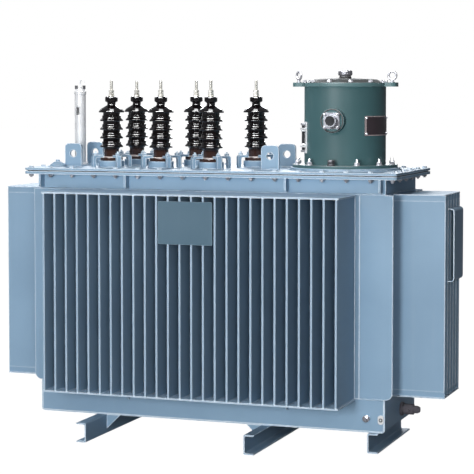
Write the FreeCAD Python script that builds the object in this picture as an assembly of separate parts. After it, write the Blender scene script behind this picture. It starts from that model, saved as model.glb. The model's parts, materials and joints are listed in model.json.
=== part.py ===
"""Oil-filled power transformer with a finned tank, porcelain bushings and a tap-changer drum.

X runs along the tank, Y across it with the front at -Y, and Z is up.
Everything is drawn about the tank's own middle, then moved as one so that the
origin is the middle of the whole transformer's underside, on the ground.
"""
import FreeCAD, Part
import math
import os

from FreeCAD import Vector

# ---------------------------------------------------------------- tank
tank_length = 1514.0          # outside, between the end walls
tank_width = 486.0            # outside, between the front and rear walls
tray_height = 133.5           # plain tray under the fins
tray_wall = 5.0
tray_corner = 14.0            # bend of the tray's floor up into its end walls
fin_zone_height = 817.5       # from the tray's rim to the upper band
band_height = 63.0
band_wall = 5.0

# ---------------------------------------------------------------- cooling fins
sheet = 1.5                   # folded fin sheet
fin_pitch = 50.0
fin_thickness = 9.0
fin_tip_bend = 3.0
side_fin_margin = 132.0       # from the tank's end to its first front or rear fin
side_fin_depth = 246.0
corner_strip = 30.0           # side sheets run past the end walls by this much
strip_corner = 28.0           # rounded lower corner of those strips
end_fin_margin = 118.0        # from the tank's side to its first end fin
end_fin_depth = 216.0
end_fin_press = 24.0          # length over which a fin is pressed shut at each end
end_fin_edge = 3.4            # thickness left where it is pressed shut
shelf_thickness = 6.0
shelf_margin = 6.0            # shelf beyond the outermost fin
end_lid_thickness = 3.0
end_lid_width = 276.0

# ---------------------------------------------------------------- flange and cover
flange_thickness = 12.0
flange_overhang = 44.0        # front and rear
flange_end_overhang = 55.0
gasket_thickness = 4.0
gasket_inset = 7.0
cover_thickness = 10.0
cover_corner = 12.0
flange_lip_inside = 30.0      # flange reaches this far inside the walls

stiffener_thickness = 8.0
stiffener_depth = 42.0
stiffener_end_inset = 15.0    # outermost stiffeners, from the tank's end
rib_place = 350.0             # inner stiffeners and shelf brackets, each side of the middle
bracket_depth = 78.0
bracket_height = 56.0
bracket_thickness = 6.0

# ---------------------------------------------------------------- skids
skid_height = 80.0
skid_flange = 43.0
skid_web = 5.0
skid_flange_thickness = 6.0
skid_bend = 5.0
skid_reach = 454.0            # from the middle to each end of the long skids
short_skid_proud = 19.0       # the right-hand skid beyond the tank's sides
left_skid_from_end = 303.0    # web, from the tank's left end
middle_skid_from_end = 523.0  # web, from the tank's right end
right_skid_from_end = 67.0
skid_gusset_width = 62.0
skid_gusset_height = 60.0
skid_gusset_thickness = 6.0

# ---------------------------------------------------------------- lifting lugs
lug_width = 77.0
lug_height = 100.0
lug_thickness = 12.0
lug_corner = 18.0
lug_hole = 31.0
lug_hole_height = 56.0
left_lug_from_end = 94.0
right_lug_from_end = 527.0
lug_row_y = 112.0

# ---------------------------------------------------------------- bushings
front_bushing_from_end = (268.0, 496.0, 722.0)   # from the tank's left end
front_bushing_y = -104.0
rear_bushing_from_end = (293.0, 573.0, 847.0)
rear_bushing_y = 112.0
seat_radius = 54.0
seat_height = 28.0
foot_radius = 48.0
foot_height = 14.0
collar_radius = 31.5
collar_height = 40.0
core_radius = 36.0
shed_radius = 49.0
top_shed_radius = 54.0
shed_lip = 5.0
shed_step = 4.0               # the core is this much thicker above each skirt
shed_pitch = 37.0
shed_count = 5
first_shed = 90.0             # rim of the lowest skirt above the cover
neck_radius = 17.5
neck_height = 270.0
bulb_radius = 27.0
bulb_top = 301.0
stud_radius = 6.0
stud_nut = 21.0               # across flats
stud_nut_height = 11.0
stud_top = 367.0
dog_count = 4
dog_width = 20.0
dog_reach = 88.0
dog_leg = 14.0
dog_grip = 8.0                # how far a dog reaches over the foot
dog_height = 52.0

# ---------------------------------------------------------------- tap changer
changer_from_end = 239.0
drum_radius = 168.0
changer_seat_height = 11.0
changer_seat_radius = 229.0
drum_flange_radius = 217.0
drum_flange_height = 12.0
drum_top = 342.0              # above the cover
lid_radius = 178.0
lid_flange_height = 17.0
lid_dome_height = 19.0
lid_dome_radius = 158.0
lid_tab_reach = 222.0
lid_tab_width = 62.0
cap_radius = 29.0
cap_height = 31.0
eye_ring = 21.0
eye_bar = 4.5
eye_shank = 6.0
eye_place = 200.0
left_eye_turn = -40.0
boss_radius = 50.0
boss_height = 204.0           # middle of the sight glass above the cover
boss_proud = 22.0
bezel_side = 66.0
bezel_depth = 12.0
glass_radius = 20.5
glass_collar = 4.5
glass_depth = 22.0
changer_plate = (44.0, 97.0, 143.0, 223.0)   # from, to (degrees), bottom, top above the cover
changer_plate_thickness = 3.0
gauge_turn = -56.0
gauge_bottom = 69.0
gauge_length = 129.0
gauge_width = 24.0
gauge_back = 5.0
gauge_glass_radius = 6.5
gauge_strap = 7.0

# ---------------------------------------------------------------- cover fittings
tube_from_end = 71.0
tube_y = 4.0
tube_radius = 24.0
tube_wall = 4.0
tube_height = 309.0
tube_foot_radius = 34.0
tube_foot_height = 10.0
window_bottom = 221.0
window_height = 34.0
window_width = 18.0
tube_cap_height = 24.0
tube_cap_radius = 26.0
tube_rod_radius = 3.0
tube_rod_height = 30.0
tube_hook = 9.0
plug_from_end = 39.0
plug_y = -156.0
plug_radius = 34.0
plug_height = 22.0
plug_neck = 9.0
plug_neck_height = 9.0

# ---------------------------------------------------------------- plates, valve and earthing
name_plate_width = 232.0
name_plate_height = 172.0
name_plate_drop = 26.0        # its top edge under the band
name_plate_thickness = 2.5
name_plate_corner = 5.0
end_bracket_width = 161.0
end_bracket_height = 295.0
end_bracket_drop = 56.0       # its top under the band
end_bracket_stand = 28.0
end_bracket_plate = 4.0
end_bracket_bend = 15.0
end_bracket_y = -14.0
valve_y = 16.0
valve_lift = 56.0             # above the tray's floor
valve_flange_radius = 28.0
valve_flange = 10.0
valve_neck_radius = 20.0
valve_neck = 20.0
valve_body_radius = 22.0
valve_body = 34.0
valve_cap_radius = 15.5
valve_cap = 16.0
valve_cap_tip = 10.0
valve_spindle_radius = 5.0
valve_spindle_proud = 14.0
earth_from_end = 75.0
earth_lift = 57.0
earth_boss_radius = 14.0
earth_boss = 12.0
earth_thread_radius = 6.0
earth_thread = 22.0
pad_from_end = 16.0
pad_lift = 54.0
pad_width = 24.0
pad_tall = 37.0
pad_thickness = 4.0
pad_hole = 12.0

# ---------------------------------------------------------------- levels, bottom to top
half_length = tank_length / 2
half_width = tank_width / 2
tray_bottom = skid_height
tray_top = tray_bottom + tray_height
band_bottom = tray_top + fin_zone_height
band_top = band_bottom + band_height
flange_top = band_top + flange_thickness
gasket_top = flange_top + gasket_thickness
cover_top = gasket_top + cover_thickness
cover_half_length = half_length + flange_end_overhang
cover_half_width = half_width + flange_overhang
side_fin_tip = half_width + side_fin_depth
end_fin_tip = half_length + end_fin_depth
side_fin_count = 1 + int((tank_length - 2 * side_fin_margin) / fin_pitch)
end_fin_count = 1 + int((tank_width - 2 * end_fin_margin) / fin_pitch)
side_fin_span = (side_fin_count - 1) * fin_pitch / 2
end_fin_span = (end_fin_count - 1) * fin_pitch / 2
side_panel_half = side_fin_span + fin_pitch / 2
end_panel_half = end_fin_span + fin_pitch / 2
strip_end = half_length + corner_strip
shelf_half = side_fin_span + fin_thickness / 2 + shelf_margin
shelf_low = tray_top - shelf_thickness
shelf_high = band_bottom - shelf_thickness
left_skid_x = -half_length + left_skid_from_end
middle_skid_x = half_length - middle_skid_from_end
right_skid_x = half_length - right_skid_from_end
changer_x = half_length - changer_from_end
tube_x = -half_length + tube_from_end
valve_height = tray_bottom + valve_lift

up = Vector(0, 0, 1)
origin = Vector(0, 0, 0)


# ---------------------------------------------------------------- drawing helpers
def block(x, y, z):
    """Box from three (low, high) pairs."""
    return Part.makeBox(x[1] - x[0], y[1] - y[0], z[1] - z[0], Vector(x[0], y[0], z[0]))


def rod(radius, base, length, along=up):
    return Part.makeCylinder(radius, length, base, along)


def outline(corners):
    """Closed wire through (point, radius) corners; a radius above 0 rounds that corner."""
    starts = []
    ends = []
    arcs = []
    count = len(corners)
    for i, (point, radius) in enumerate(corners):
        if radius == 0:
            starts.append(point)
            ends.append(point)
            arcs.append(None)
            continue
        back = (corners[i - 1][0] - point).normalize()
        ahead = (corners[(i + 1) % count][0] - point).normalize()
        half = back.getAngle(ahead) / 2
        middle = (back + ahead).normalize()
        centre = point + middle * (radius / math.sin(half))
        starts.append(point + back * (radius / math.tan(half)))
        ends.append(point + ahead * (radius / math.tan(half)))
        arcs.append(centre - middle * radius)
    edges = []
    for i in range(count):
        if arcs[i] is not None:
            edges.append(Part.Arc(starts[i], arcs[i], ends[i]).toShape())
        after = starts[(i + 1) % count]
        if ends[i].distanceToPoint(after) > 1e-6:
            edges.append(Part.LineSegment(ends[i], after).toShape())
    return Part.Wire(edges)


def drawn(points, plane, place=0.0):
    """(a, b) or (a, b, radius) points as corners in the plane 'xy', 'xz' or 'yz'."""
    corners = []
    for point in points:
        a, b = point[:2]
        radius = point[2] if len(point) > 2 else 0
        spot = {
            "xy": Vector(a, b, place),
            "xz": Vector(a, place, b),
            "yz": Vector(place, a, b),
        }[plane]
        corners.append((spot, radius))
    return outline(corners)


def plate(points, plane, place, thickness):
    """Flat plate: an outline drawn at a place along the third axis and thickened that way."""
    way = {"xy": Vector(0, 0, 1), "xz": Vector(0, 1, 0), "yz": Vector(1, 0, 0)}[plane]
    return Part.Face(drawn(points, plane, place)).extrude(way * thickness)


def turned(points, centre=origin):
    """Solid of revolution about a vertical line through centre, from (radius, height) points."""
    shape = Part.Face(drawn(points, "xz")).revolve(origin, up, 360)
    return shape.translated(centre)


def rounded_rectangle(half_x, half_y, radius):
    return [
        (-half_x, -half_y, radius),
        (half_x, -half_y, radius),
        (half_x, half_y, radius),
        (-half_x, half_y, radius),
    ]


def hexagon(across, height, centre):
    """Hexagonal nut about a vertical line."""
    reach = across / math.sqrt(3)
    points = []
    for i in range(6):
        turn = math.radians(60 * i)
        points.append((reach * math.cos(turn), reach * math.sin(turn)))
    return plate(points, "xy", 0, height).translated(centre)


def mirrored_y(shape):
    return shape.mirror(origin, Vector(0, 1, 0))


def mirrored_x(shape):
    return shape.mirror(origin, Vector(1, 0, 0))


def joined(shapes):
    """One solid from shapes that meet or overlap."""
    whole = shapes[0].fuse(shapes[1:]) if len(shapes) > 1 else shapes[0]
    return whole.removeSplitter()


def group(shapes):
    """Like solids that stay apart and share a node."""
    return Part.makeCompound(shapes)


# ---------------------------------------------------------------- tank
def tray_floor():
    flat = half_length - tray_corner
    return block((-flat, flat), (-half_width, half_width), (tray_bottom, tray_bottom + tray_wall))


def right_tray_end():
    """End wall that bends under the tank to meet the floor."""
    points = [
        (half_length - tray_corner, tray_bottom),
        (half_length, tray_bottom, tray_corner),
        (half_length, tray_top),
        (half_length - tray_wall, tray_top),
        (half_length - tray_wall, tray_bottom + tray_wall, tray_corner - tray_wall),
        (half_length - tray_corner, tray_bottom + tray_wall),
    ]
    return plate(points, "xz", -half_width, tank_width)


def front_tray_side():
    """Side wall set between the bent ends and on the floor, flush with their edges."""
    inside = half_length - tray_wall
    bend = tray_corner - tray_wall
    points = [
        (-inside, tray_bottom + tray_wall, bend),
        (inside, tray_bottom + tray_wall, bend),
        (inside, tray_top),
        (-inside, tray_top),
    ]
    return plate(points, "xz", -half_width, tray_wall)


def side_fin_outline():
    """Folded sheet seen from above, for the front wall: deep hollow fins with flats between."""
    face = -half_width
    back = face + sheet
    tip = -side_fin_tip
    half = fin_thickness / 2
    inner_half = half - sheet
    fins = [i * fin_pitch - side_fin_span for i in range(side_fin_count)]
    points = [(-side_panel_half, face)]
    for x in fins:
        points.append((x - half, face))
        points.append((x - half, tip, fin_tip_bend))
        points.append((x + half, tip, fin_tip_bend))
        points.append((x + half, face))
    points.append((side_panel_half, face))
    points.append((side_panel_half, back))
    for x in reversed(fins):
        points.append((x + inner_half, back))
        points.append((x + inner_half, tip + sheet, fin_tip_bend - sheet))
        points.append((x - inner_half, tip + sheet, fin_tip_bend - sheet))
        points.append((x - inner_half, back))
    points.append((-side_panel_half, back))
    return points


def front_fin_wall():
    """Fins stop under the upper shelf; the flat sheet behind it runs on up to the band."""
    fins = plate(side_fin_outline(), "xy", tray_top, shelf_high - tray_top)
    flat = block((-side_panel_half, side_panel_half), (-half_width, -half_width + sheet),
                 (shelf_high, band_bottom))
    return joined([fins, flat])


def front_right_strip():
    """Flat sheet from the last fin out past the tank's corner, its lower corner rounded."""
    points = [
        (side_panel_half, tray_top),
        (strip_end, tray_top, strip_corner),
        (strip_end, band_bottom),
        (side_panel_half, band_bottom),
    ]
    return plate(points, "xz", -half_width, sheet)


def front_right_end_strip():
    """Flat sheet of the end wall, beside its fins."""
    return block((half_length - sheet, half_length), (-half_width + sheet, -end_panel_half),
                 (tray_top, band_bottom))


def four_corners(shape):
    """A piece at the front right corner and its copies at the other three."""
    front = [shape, mirrored_x(shape)]
    return group(front + [mirrored_y(piece) for piece in front])


def fin_slice(height, thickness):
    """One level of an end fin, seen from above, from its root out to its rounded tip."""
    half = thickness / 2
    bend = min(fin_tip_bend, half * 0.9)
    root = half_length - sheet
    points = [
        (root, -half),
        (end_fin_tip, -half, bend),
        (end_fin_tip, half, bend),
        (root, half),
    ]
    return drawn(points, "xy", height)


def end_fin(y):
    """Hollow blade pressed shut at its top and bottom."""
    low = tray_top + end_lid_thickness
    high = band_bottom - end_lid_thickness
    levels = [
        (low, end_fin_edge),
        (low + end_fin_press, fin_thickness),
        (high - end_fin_press, fin_thickness),
        (high, end_fin_edge),
    ]
    pieces = []
    for lower, upper in zip(levels[:-1], levels[1:]):
        pieces.append(Part.makeLoft([fin_slice(*lower), fin_slice(*upper)], True, True))
    blade = joined(pieces)
    half = fin_thickness / 2 - sheet
    hollow = block((half_length - 2 * sheet, end_fin_tip - sheet), (-half, half),
                   (low + end_fin_press, high - end_fin_press))
    return blade.cut(hollow).translated(Vector(0, y, 0))


def right_fin_wall():
    wall = block((half_length - sheet, half_length), (-end_panel_half, end_panel_half),
                 (tray_top, band_bottom))
    slot_half = fin_thickness / 2 - sheet
    low = tray_top + end_lid_thickness + end_fin_press
    high = band_bottom - end_lid_thickness - end_fin_press
    slots = []
    fins = []
    for i in range(end_fin_count):
        y = i * fin_pitch - end_fin_span
        slots.append(block((half_length - 2 * sheet, half_length + sheet),
                           (y - slot_half, y + slot_half), (low, high)))
        fins.append(end_fin(y))
    return joined([wall] + fins).cut(slots)


def front_fin_shelves():
    """Flat bars that close the fins of one side, above and below."""
    bars = []
    for low in (shelf_low, shelf_high):
        points = [
            (-shelf_half, -half_width),
            (-shelf_half, -side_fin_tip, 3),
            (shelf_half, -side_fin_tip, 3),
            (shelf_half, -half_width),
        ]
        bars.append(plate(points, "xy", low, shelf_thickness))
    return group(bars)


def right_fin_lids():
    lids = []
    for low in (tray_top, band_bottom - end_lid_thickness):
        points = [
            (half_length, -end_lid_width / 2),
            (end_fin_tip, -end_lid_width / 2, 8),
            (end_fin_tip, end_lid_width / 2, 8),
            (half_length, end_lid_width / 2),
        ]
        lids.append(plate(points, "xy", low, end_lid_thickness))
    return lids


def front_band_side():
    return block((-half_length, half_length), (-half_width, -half_width + band_wall),
                 (band_bottom, band_top))


def right_band_end():
    inside = half_width - band_wall
    return block((half_length - band_wall, half_length), (-inside, inside),
                 (band_bottom, band_top))


def front_flange_bar():
    """Full-length bar; the end bars butt against its inner edge."""
    points = [
        (-cover_half_length, -cover_half_width, cover_corner),
        (cover_half_length, -cover_half_width, cover_corner),
        (cover_half_length, -half_width + flange_lip_inside),
        (-cover_half_length, -half_width + flange_lip_inside),
    ]
    return plate(points, "xy", band_top, flange_thickness)


def right_flange_bar():
    inside = half_width - flange_lip_inside
    return block((half_length - flange_lip_inside, cover_half_length), (-inside, inside),
                 (band_top, flange_top))


def cover_gasket():
    """Thin frame between flange and cover, set in from their edges."""
    outer = rounded_rectangle(cover_half_length - gasket_inset,
                              cover_half_width - gasket_inset, cover_corner)
    frame = plate(outer, "xy", flange_top, gasket_thickness)
    length = half_length - flange_lip_inside
    width = half_width - flange_lip_inside
    return frame.cut(block((-length, length), (-width, width), (flange_top, gasket_top)))


def cover_plate():
    outer = rounded_rectangle(cover_half_length, cover_half_width, cover_corner)
    return plate(outer, "xy", gasket_top, cover_thickness)


def front_stiffeners():
    """Upright plates between the band and the flange's underside."""
    lean = 8.0
    reach = half_width + stiffener_depth
    points = [
        (-half_width, band_bottom + lean),
        (-half_width, band_top),
        (-reach, band_top),
        (-reach, band_bottom + 2 * lean, 4),
        (-reach + lean, band_bottom + lean, 4),
    ]
    plates = []
    end = half_length - stiffener_end_inset
    for x in (-end, -rib_place, rib_place, end):
        plates.append(plate(points, "yz", x - stiffener_thickness / 2, stiffener_thickness))
    return plates


def front_brackets():
    """Tapered plates on the tray that carry the lower shelf."""
    foot = 6.0
    points = [
        (-half_width, shelf_low - bracket_height),
        (-half_width - foot, shelf_low - bracket_height),
        (-half_width - bracket_depth, shelf_low - foot),
        (-half_width - bracket_depth, shelf_low),
        (-half_width, shelf_low),
    ]
    plates = []
    for x in (-rib_place, rib_place):
        plates.append(plate(points, "yz", x - bracket_thickness / 2, bracket_thickness))
    return plates


# ---------------------------------------------------------------- skids
def channel(web_x, side, reach):
    """Rolled channel on its edge, running across the tank; side is where its flanges point."""
    out = web_x + side * skid_flange
    inner = web_x + side * skid_web
    low = skid_flange_thickness
    high = skid_height - skid_flange_thickness
    points = [
        (web_x, 0, skid_bend),
        (out, 0),
        (out, low, low * 0.6),
        (inner, low, skid_bend),
        (inner, high, skid_bend),
        (out, high, low * 0.6),
        (out, skid_height),
        (web_x, skid_height, skid_bend),
    ]
    return plate(points, "xz", -reach, 2 * reach)


def skid_gusset(web_x, side):
    """Triangle between the web's back and the tray's floor, in line with the front wall."""
    top = skid_height
    points = [
        (web_x, top),
        (web_x - side * skid_gusset_width, top),
        (web_x, top - skid_gusset_height),
    ]
    return plate(points, "xz", -half_width, skid_gusset_thickness)


def skid_gussets():
    front = [skid_gusset(left_skid_x, -1), skid_gusset(middle_skid_x, 1)]
    return group(front + [mirrored_y(gusset) for gusset in front])


# ---------------------------------------------------------------- lifting lugs
def lifting_lug(x, y):
    half = lug_width / 2
    points = [
        (x - half, cover_top),
        (x + half, cover_top),
        (x + half, cover_top + lug_height, lug_corner),
        (x - half, cover_top + lug_height, lug_corner),
    ]
    blank = plate(points, "xz", y - lug_thickness / 2, lug_thickness)
    eye = Vector(x, y - lug_thickness, cover_top + lug_hole_height)
    return blank.cut(rod(lug_hole / 2, eye, 2 * lug_thickness, Vector(0, 1, 0)))


# ---------------------------------------------------------------- bushings
def shed_points(rim, reach):
    """One skirt of the porcelain, listed upwards: undercut, rounded rim, hollow slope, step."""
    thick = core_radius + shed_step
    return [
        (core_radius, rim - shed_lip, 2),
        (reach, rim - shed_lip, 2),
        (reach, rim, 2),
        (thick, rim + 8, 7),
        (thick, rim + 18, 2),
        (core_radius, rim + 20, 1),
    ]


def porcelain(x, y):
    foot = seat_height
    shoulder = foot + foot_height
    collar = shoulder + collar_height
    points = [
        (0, foot),
        (foot_radius, foot, 2),
        (foot_radius, shoulder, 3),
        (collar_radius, shoulder, 1),
        (collar_radius, collar - 4, 2),
        (core_radius, collar - 1, 1),
    ]
    for i in range(shed_count - 1):
        points += shed_points(first_shed + i * shed_pitch, shed_radius)
    top_rim = first_shed + (shed_count - 1) * shed_pitch
    points += [
        (core_radius, top_rim - shed_lip, 2),
        (top_shed_radius, top_rim - shed_lip, 2),
        (top_shed_radius, top_rim, 2),
        (top_shed_radius * 0.84, top_rim + 10, 8),
        (neck_radius, neck_height - 5, 6),
        (neck_radius, neck_height + 5, 3),
        (bulb_radius, neck_height + 10, 6),
        (bulb_radius, bulb_top, 7),
        (0, bulb_top),
    ]
    return turned(points, Vector(x, y, cover_top))


def clamp_dog(turn):
    """Hooked dog: its leg stands on the cover and its arm grips the porcelain's foot."""
    grip = foot_radius - dog_grip
    leg = dog_reach - dog_leg
    hold = seat_height + foot_height
    points = [
        (leg, 0),
        (dog_reach, 0, 3),
        (dog_reach, dog_height, 10),
        (grip, dog_height, 4),
        (grip, hold),
        (leg, hold, 7),
    ]
    dog = plate(points, "xz", -dog_width / 2, dog_width)
    return dog.rotated(origin, up, turn)


def bushing_clamp(x, y):
    seat = turned([(0, 0), (seat_radius, 0), (seat_radius, seat_height, 3), (0, seat_height)])
    dogs = [clamp_dog(45 + 360 / dog_count * i) for i in range(dog_count)]
    return [piece.translated(Vector(x, y, cover_top)) for piece in [seat] + dogs]


def terminal_stud(x, y):
    shank = rod(stud_radius, Vector(0, 0, bulb_top), stud_top - bulb_top)
    washer = rod(stud_nut * 0.68, Vector(0, 0, bulb_top), 3)
    nuts = []
    for lift in (3, 3 + stud_nut_height + 2):
        nuts.append(hexagon(stud_nut, stud_nut_height, Vector(0, 0, bulb_top + lift)))
    point = Part.makeCone(stud_radius, stud_radius * 0.6, 3, Vector(0, 0, stud_top))
    return joined([shank, washer, point] + nuts).translated(Vector(x, y, cover_top))


# ---------------------------------------------------------------- tap changer
def on_changer(shape, height=0.0):
    return shape.translated(Vector(changer_x, 0, cover_top + height))


def changer_seat():
    points = [
        (0, 0),
        (changer_seat_radius, 0),
        (changer_seat_radius, changer_seat_height, 3),
        (0, changer_seat_height),
    ]
    return on_changer(turned(points))


def changer_drum_flange():
    """Bolting flange at the drum's foot."""
    top = changer_seat_height + drum_flange_height
    points = [
        (0, changer_seat_height),
        (drum_flange_radius, changer_seat_height),
        (drum_flange_radius, top, 3),
        (0, top),
    ]
    return on_changer(turned(points))


def changer_drum():
    """Closed switch housing standing on its flange."""
    foot = changer_seat_height + drum_flange_height
    return on_changer(rod(drum_radius, Vector(0, 0, foot), drum_top - foot))


def changer_lid():
    """Domed lid with two tabs for the eye bolts."""
    shoulder = lid_flange_height
    points = [
        (0, 0),
        (lid_radius, 0, 2),
        (lid_radius, shoulder, 4),
        (lid_dome_radius, shoulder, 2),
        (lid_dome_radius * 0.82, shoulder + lid_dome_height * 0.7, 30),
        (cap_radius, shoulder + lid_dome_height),
        (0, shoulder + lid_dome_height),
    ]
    dome = turned(points)
    tab = plate(rounded_rectangle(lid_tab_reach, lid_tab_width / 2, 20), "xy", 0, shoulder)
    return on_changer(joined([dome, tab]), drum_top)


def changer_cap():
    points = [
        (0, 0),
        (cap_radius * 0.8, 0),
        (cap_radius * 0.8, cap_height * 0.3, 2),
        (cap_radius, cap_height * 0.36, 2),
        (cap_radius, cap_height, 6),
        (0, cap_height),
    ]
    return on_changer(turned(points), drum_top + lid_flange_height + lid_dome_height)


def eye_bolt(place, turn):
    foot = 3.0
    collar = rod(eye_shank * 1.7, Vector(0, 0, 0), foot)
    shank = rod(eye_shank, Vector(0, 0, 0), foot + eye_bar * 2)
    ring_centre = Vector(0, 0, foot + eye_bar + eye_ring)
    ring = Part.makeTorus(eye_ring - eye_bar, eye_bar, ring_centre, Vector(0, 1, 0))
    bolt = joined([collar, shank, ring]).rotated(origin, up, turn)
    return bolt.translated(Vector(place, 0, 0))


def changer_eye_bolts():
    """The two eyes are screwed home at different turns."""
    pair = group([eye_bolt(-eye_place, left_eye_turn), eye_bolt(eye_place, 0)])
    return on_changer(pair, drum_top + lid_flange_height)


def drum_core():
    return rod(drum_radius, Vector(0, 0, changer_seat_height), drum_top)


def changer_sight_boss():
    """Round boss welded to the drum's front, with a square bezel bolted on it."""
    face = drum_radius + boss_proud
    along = Vector(0, -1, 0)
    root = drum_radius - boss_radius
    boss = rod(boss_radius, Vector(0, -root, boss_height), face - root, along)
    recess = rod(boss_radius - 6, Vector(0, -face + 4, boss_height), 4, along)
    return on_changer(boss.cut([drum_core(), recess]))


def changer_sight_bezel():
    """Square collar with a raised ring, open in the middle for the glass."""
    back = drum_radius + boss_proud - 4
    half = bezel_side / 2
    square = rounded_rectangle(half, half, 6)
    points = [(a, b + boss_height, r) for a, b, r in square]
    body = plate(points, "xz", -back - bezel_depth, bezel_depth)
    along = Vector(0, -1, 0)
    ring = rod(glass_radius + glass_collar, Vector(0, -back, boss_height),
               bezel_depth + glass_depth, along)
    hole = rod(glass_radius, Vector(0, -back, boss_height), bezel_depth + glass_depth, along)
    return on_changer(joined([body, ring]).cut(hole))


def changer_sight_glass():
    back = drum_radius + boss_proud - 4
    thickness = bezel_depth + glass_depth - 5
    return on_changer(rod(glass_radius, Vector(0, -back, boss_height), thickness,
                          Vector(0, -1, 0)))


def changer_name_plate():
    """Blank plate that follows the drum; its angles are counted from the front towards +X."""
    start, stop, bottom, top = changer_plate
    points = [
        (drum_radius, bottom),
        (drum_radius + changer_plate_thickness, bottom),
        (drum_radius + changer_plate_thickness, top),
        (drum_radius, top),
    ]
    face = Part.Face(drawn(points, "xz"))
    sector = face.revolve(origin, up, stop - start)
    return on_changer(sector.rotated(origin, up, start - 90))


def changer_oil_gauge():
    """Level gauge on the drum: a backing bar, two straps and the glass tube's end blocks."""
    half = gauge_width / 2
    seat = drum_radius * math.cos(math.asin(half / drum_radius))
    out = drum_radius + gauge_back
    tube_line = out + gauge_glass_radius
    bar = block((seat - 2, out), (-half, half), (gauge_bottom, gauge_bottom + gauge_length))
    straps = []
    for share in (0.22, 0.78):
        middle = gauge_bottom + share * gauge_length
        reach = tube_line + gauge_glass_radius + 3
        straps.append(block((out - 1, reach), (-half, half),
                            (middle - gauge_strap / 2, middle + gauge_strap / 2)))
    tube = rod(gauge_glass_radius, Vector(tube_line, 0, gauge_bottom + 6), gauge_length - 12)
    frame = joined([bar] + straps).cut([drum_core(), tube])
    return on_changer(frame.rotated(origin, up, gauge_turn - 90))


def changer_gauge_glass():
    tube_line = drum_radius + gauge_back + gauge_glass_radius
    tube = rod(gauge_glass_radius, Vector(tube_line, 0, gauge_bottom + 6), gauge_length - 12)
    return on_changer(tube.rotated(origin, up, gauge_turn - 90))


# ---------------------------------------------------------------- cover fittings
def level_tube():
    inner = tube_radius - tube_wall
    points = [
        (0, 0),
        (tube_foot_radius, 0),
        (tube_foot_radius, tube_foot_height, 3),
        (tube_radius, tube_foot_height, 2),
        (tube_radius, tube_height),
        (inner, tube_height),
        (inner, tube_foot_height),
        (0, tube_foot_height),
    ]
    body = turned(points, Vector(tube_x, tube_y, cover_top))
    half = window_width / 2
    window = block((tube_x - half, tube_x + half), (tube_y - 2 * tube_radius, tube_y),
                   (cover_top + window_bottom, cover_top + window_bottom + window_height))
    return body.cut(window)


def level_tube_cap():
    """Screwed cap with a thin hooked rod."""
    skirt = tube_cap_height
    points = [
        (0, 0),
        (tube_cap_radius, 0, 1.5),
        (tube_cap_radius, skirt * 0.6, 2),
        (tube_cap_radius * 0.8, skirt * 0.6, 1),
        (tube_cap_radius * 0.8, skirt, 3),
        (0, skirt),
    ]
    cap = turned(points)
    stem = rod(tube_rod_radius, Vector(0, 0, skirt - 1), tube_rod_height + 1)
    nut = hexagon(16, 9, Vector(0, 0, skirt))
    bend = Part.makeTorus(tube_hook, tube_rod_radius, Vector(tube_hook, 0, skirt + tube_rod_height),
                          Vector(0, 1, 0))
    upper = block((-tube_hook, 3 * tube_hook), (-tube_hook, tube_hook),
                  (skirt + tube_rod_height, skirt + tube_rod_height + 2 * tube_hook))
    hook = bend.common(upper)
    shape = joined([cap, stem, nut, hook])
    return shape.translated(Vector(tube_x, tube_y, cover_top + tube_height))


def filler_plug():
    points = [
        (0, 0),
        (plug_radius, 0),
        (plug_radius, plug_height * 0.35, 3),
        (plug_neck * 1.6, plug_height, 4),
        (plug_neck, plug_height, 1),
        (plug_neck, plug_height + plug_neck_height, 3),
        (0, plug_height + plug_neck_height),
    ]
    return turned(points, Vector(-half_length + plug_from_end, plug_y, cover_top))


# ---------------------------------------------------------------- plates, valve and earthing
def front_name_plate():
    half = name_plate_width / 2
    high = band_bottom - name_plate_drop
    low = high - name_plate_height
    points = [
        (-half, low, name_plate_corner),
        (half, low, name_plate_corner),
        (half, high, name_plate_corner),
        (-half, high, name_plate_corner),
    ]
    return plate(points, "xz", -side_fin_tip - name_plate_thickness, name_plate_thickness)


def end_bracket():
    """Plate bent like a square bracket and welded to the tips of the end fins."""
    root = end_fin_tip
    face = root + end_bracket_stand
    thick = end_bracket_plate
    high = band_bottom - end_bracket_drop
    low = high - end_bracket_height
    points = [
        (root, low),
        (face, low, end_bracket_bend),
        (face, high, end_bracket_bend),
        (root, high),
        (root, high - thick),
        (face - thick, high - thick, end_bracket_bend - thick),
        (face - thick, low + thick, end_bracket_bend - thick),
        (root, low + thick),
    ]
    return plate(points, "xz", end_bracket_y - end_bracket_width / 2, end_bracket_width)


def drain_valve():
    """Flanged stub, body, spindle and screwed cap on the right-hand end of the tray."""
    along = Vector(1, 0, 0)
    root = Vector(half_length, valve_y, valve_height)
    body_start = root + along * valve_neck
    cap_start = body_start + along * valve_body
    flange = rod(valve_flange_radius, root, valve_flange, along)
    neck = rod(valve_neck_radius, root, valve_neck, along)
    body = rod(valve_body_radius, body_start, valve_body, along)
    spindle = rod(valve_spindle_radius, body_start + along * (valve_body / 2),
                  valve_body_radius + valve_spindle_proud, Vector(0, -1, 0))
    cap = rod(valve_cap_radius, cap_start, valve_cap, along)
    tip = Part.makeCone(valve_cap_radius, valve_cap_radius * 0.7, valve_cap_tip,
                        cap_start + along * valve_cap, along)
    return joined([flange, neck, body, spindle, cap, tip])


def earth_stud():
    along = Vector(0, -1, 0)
    root = Vector(half_length - earth_from_end, -half_width, tray_bottom + earth_lift)
    boss = rod(earth_boss_radius, root, earth_boss, along)
    thread = rod(earth_thread_radius, root, earth_boss + earth_thread, along)
    return joined([boss, thread])


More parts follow.
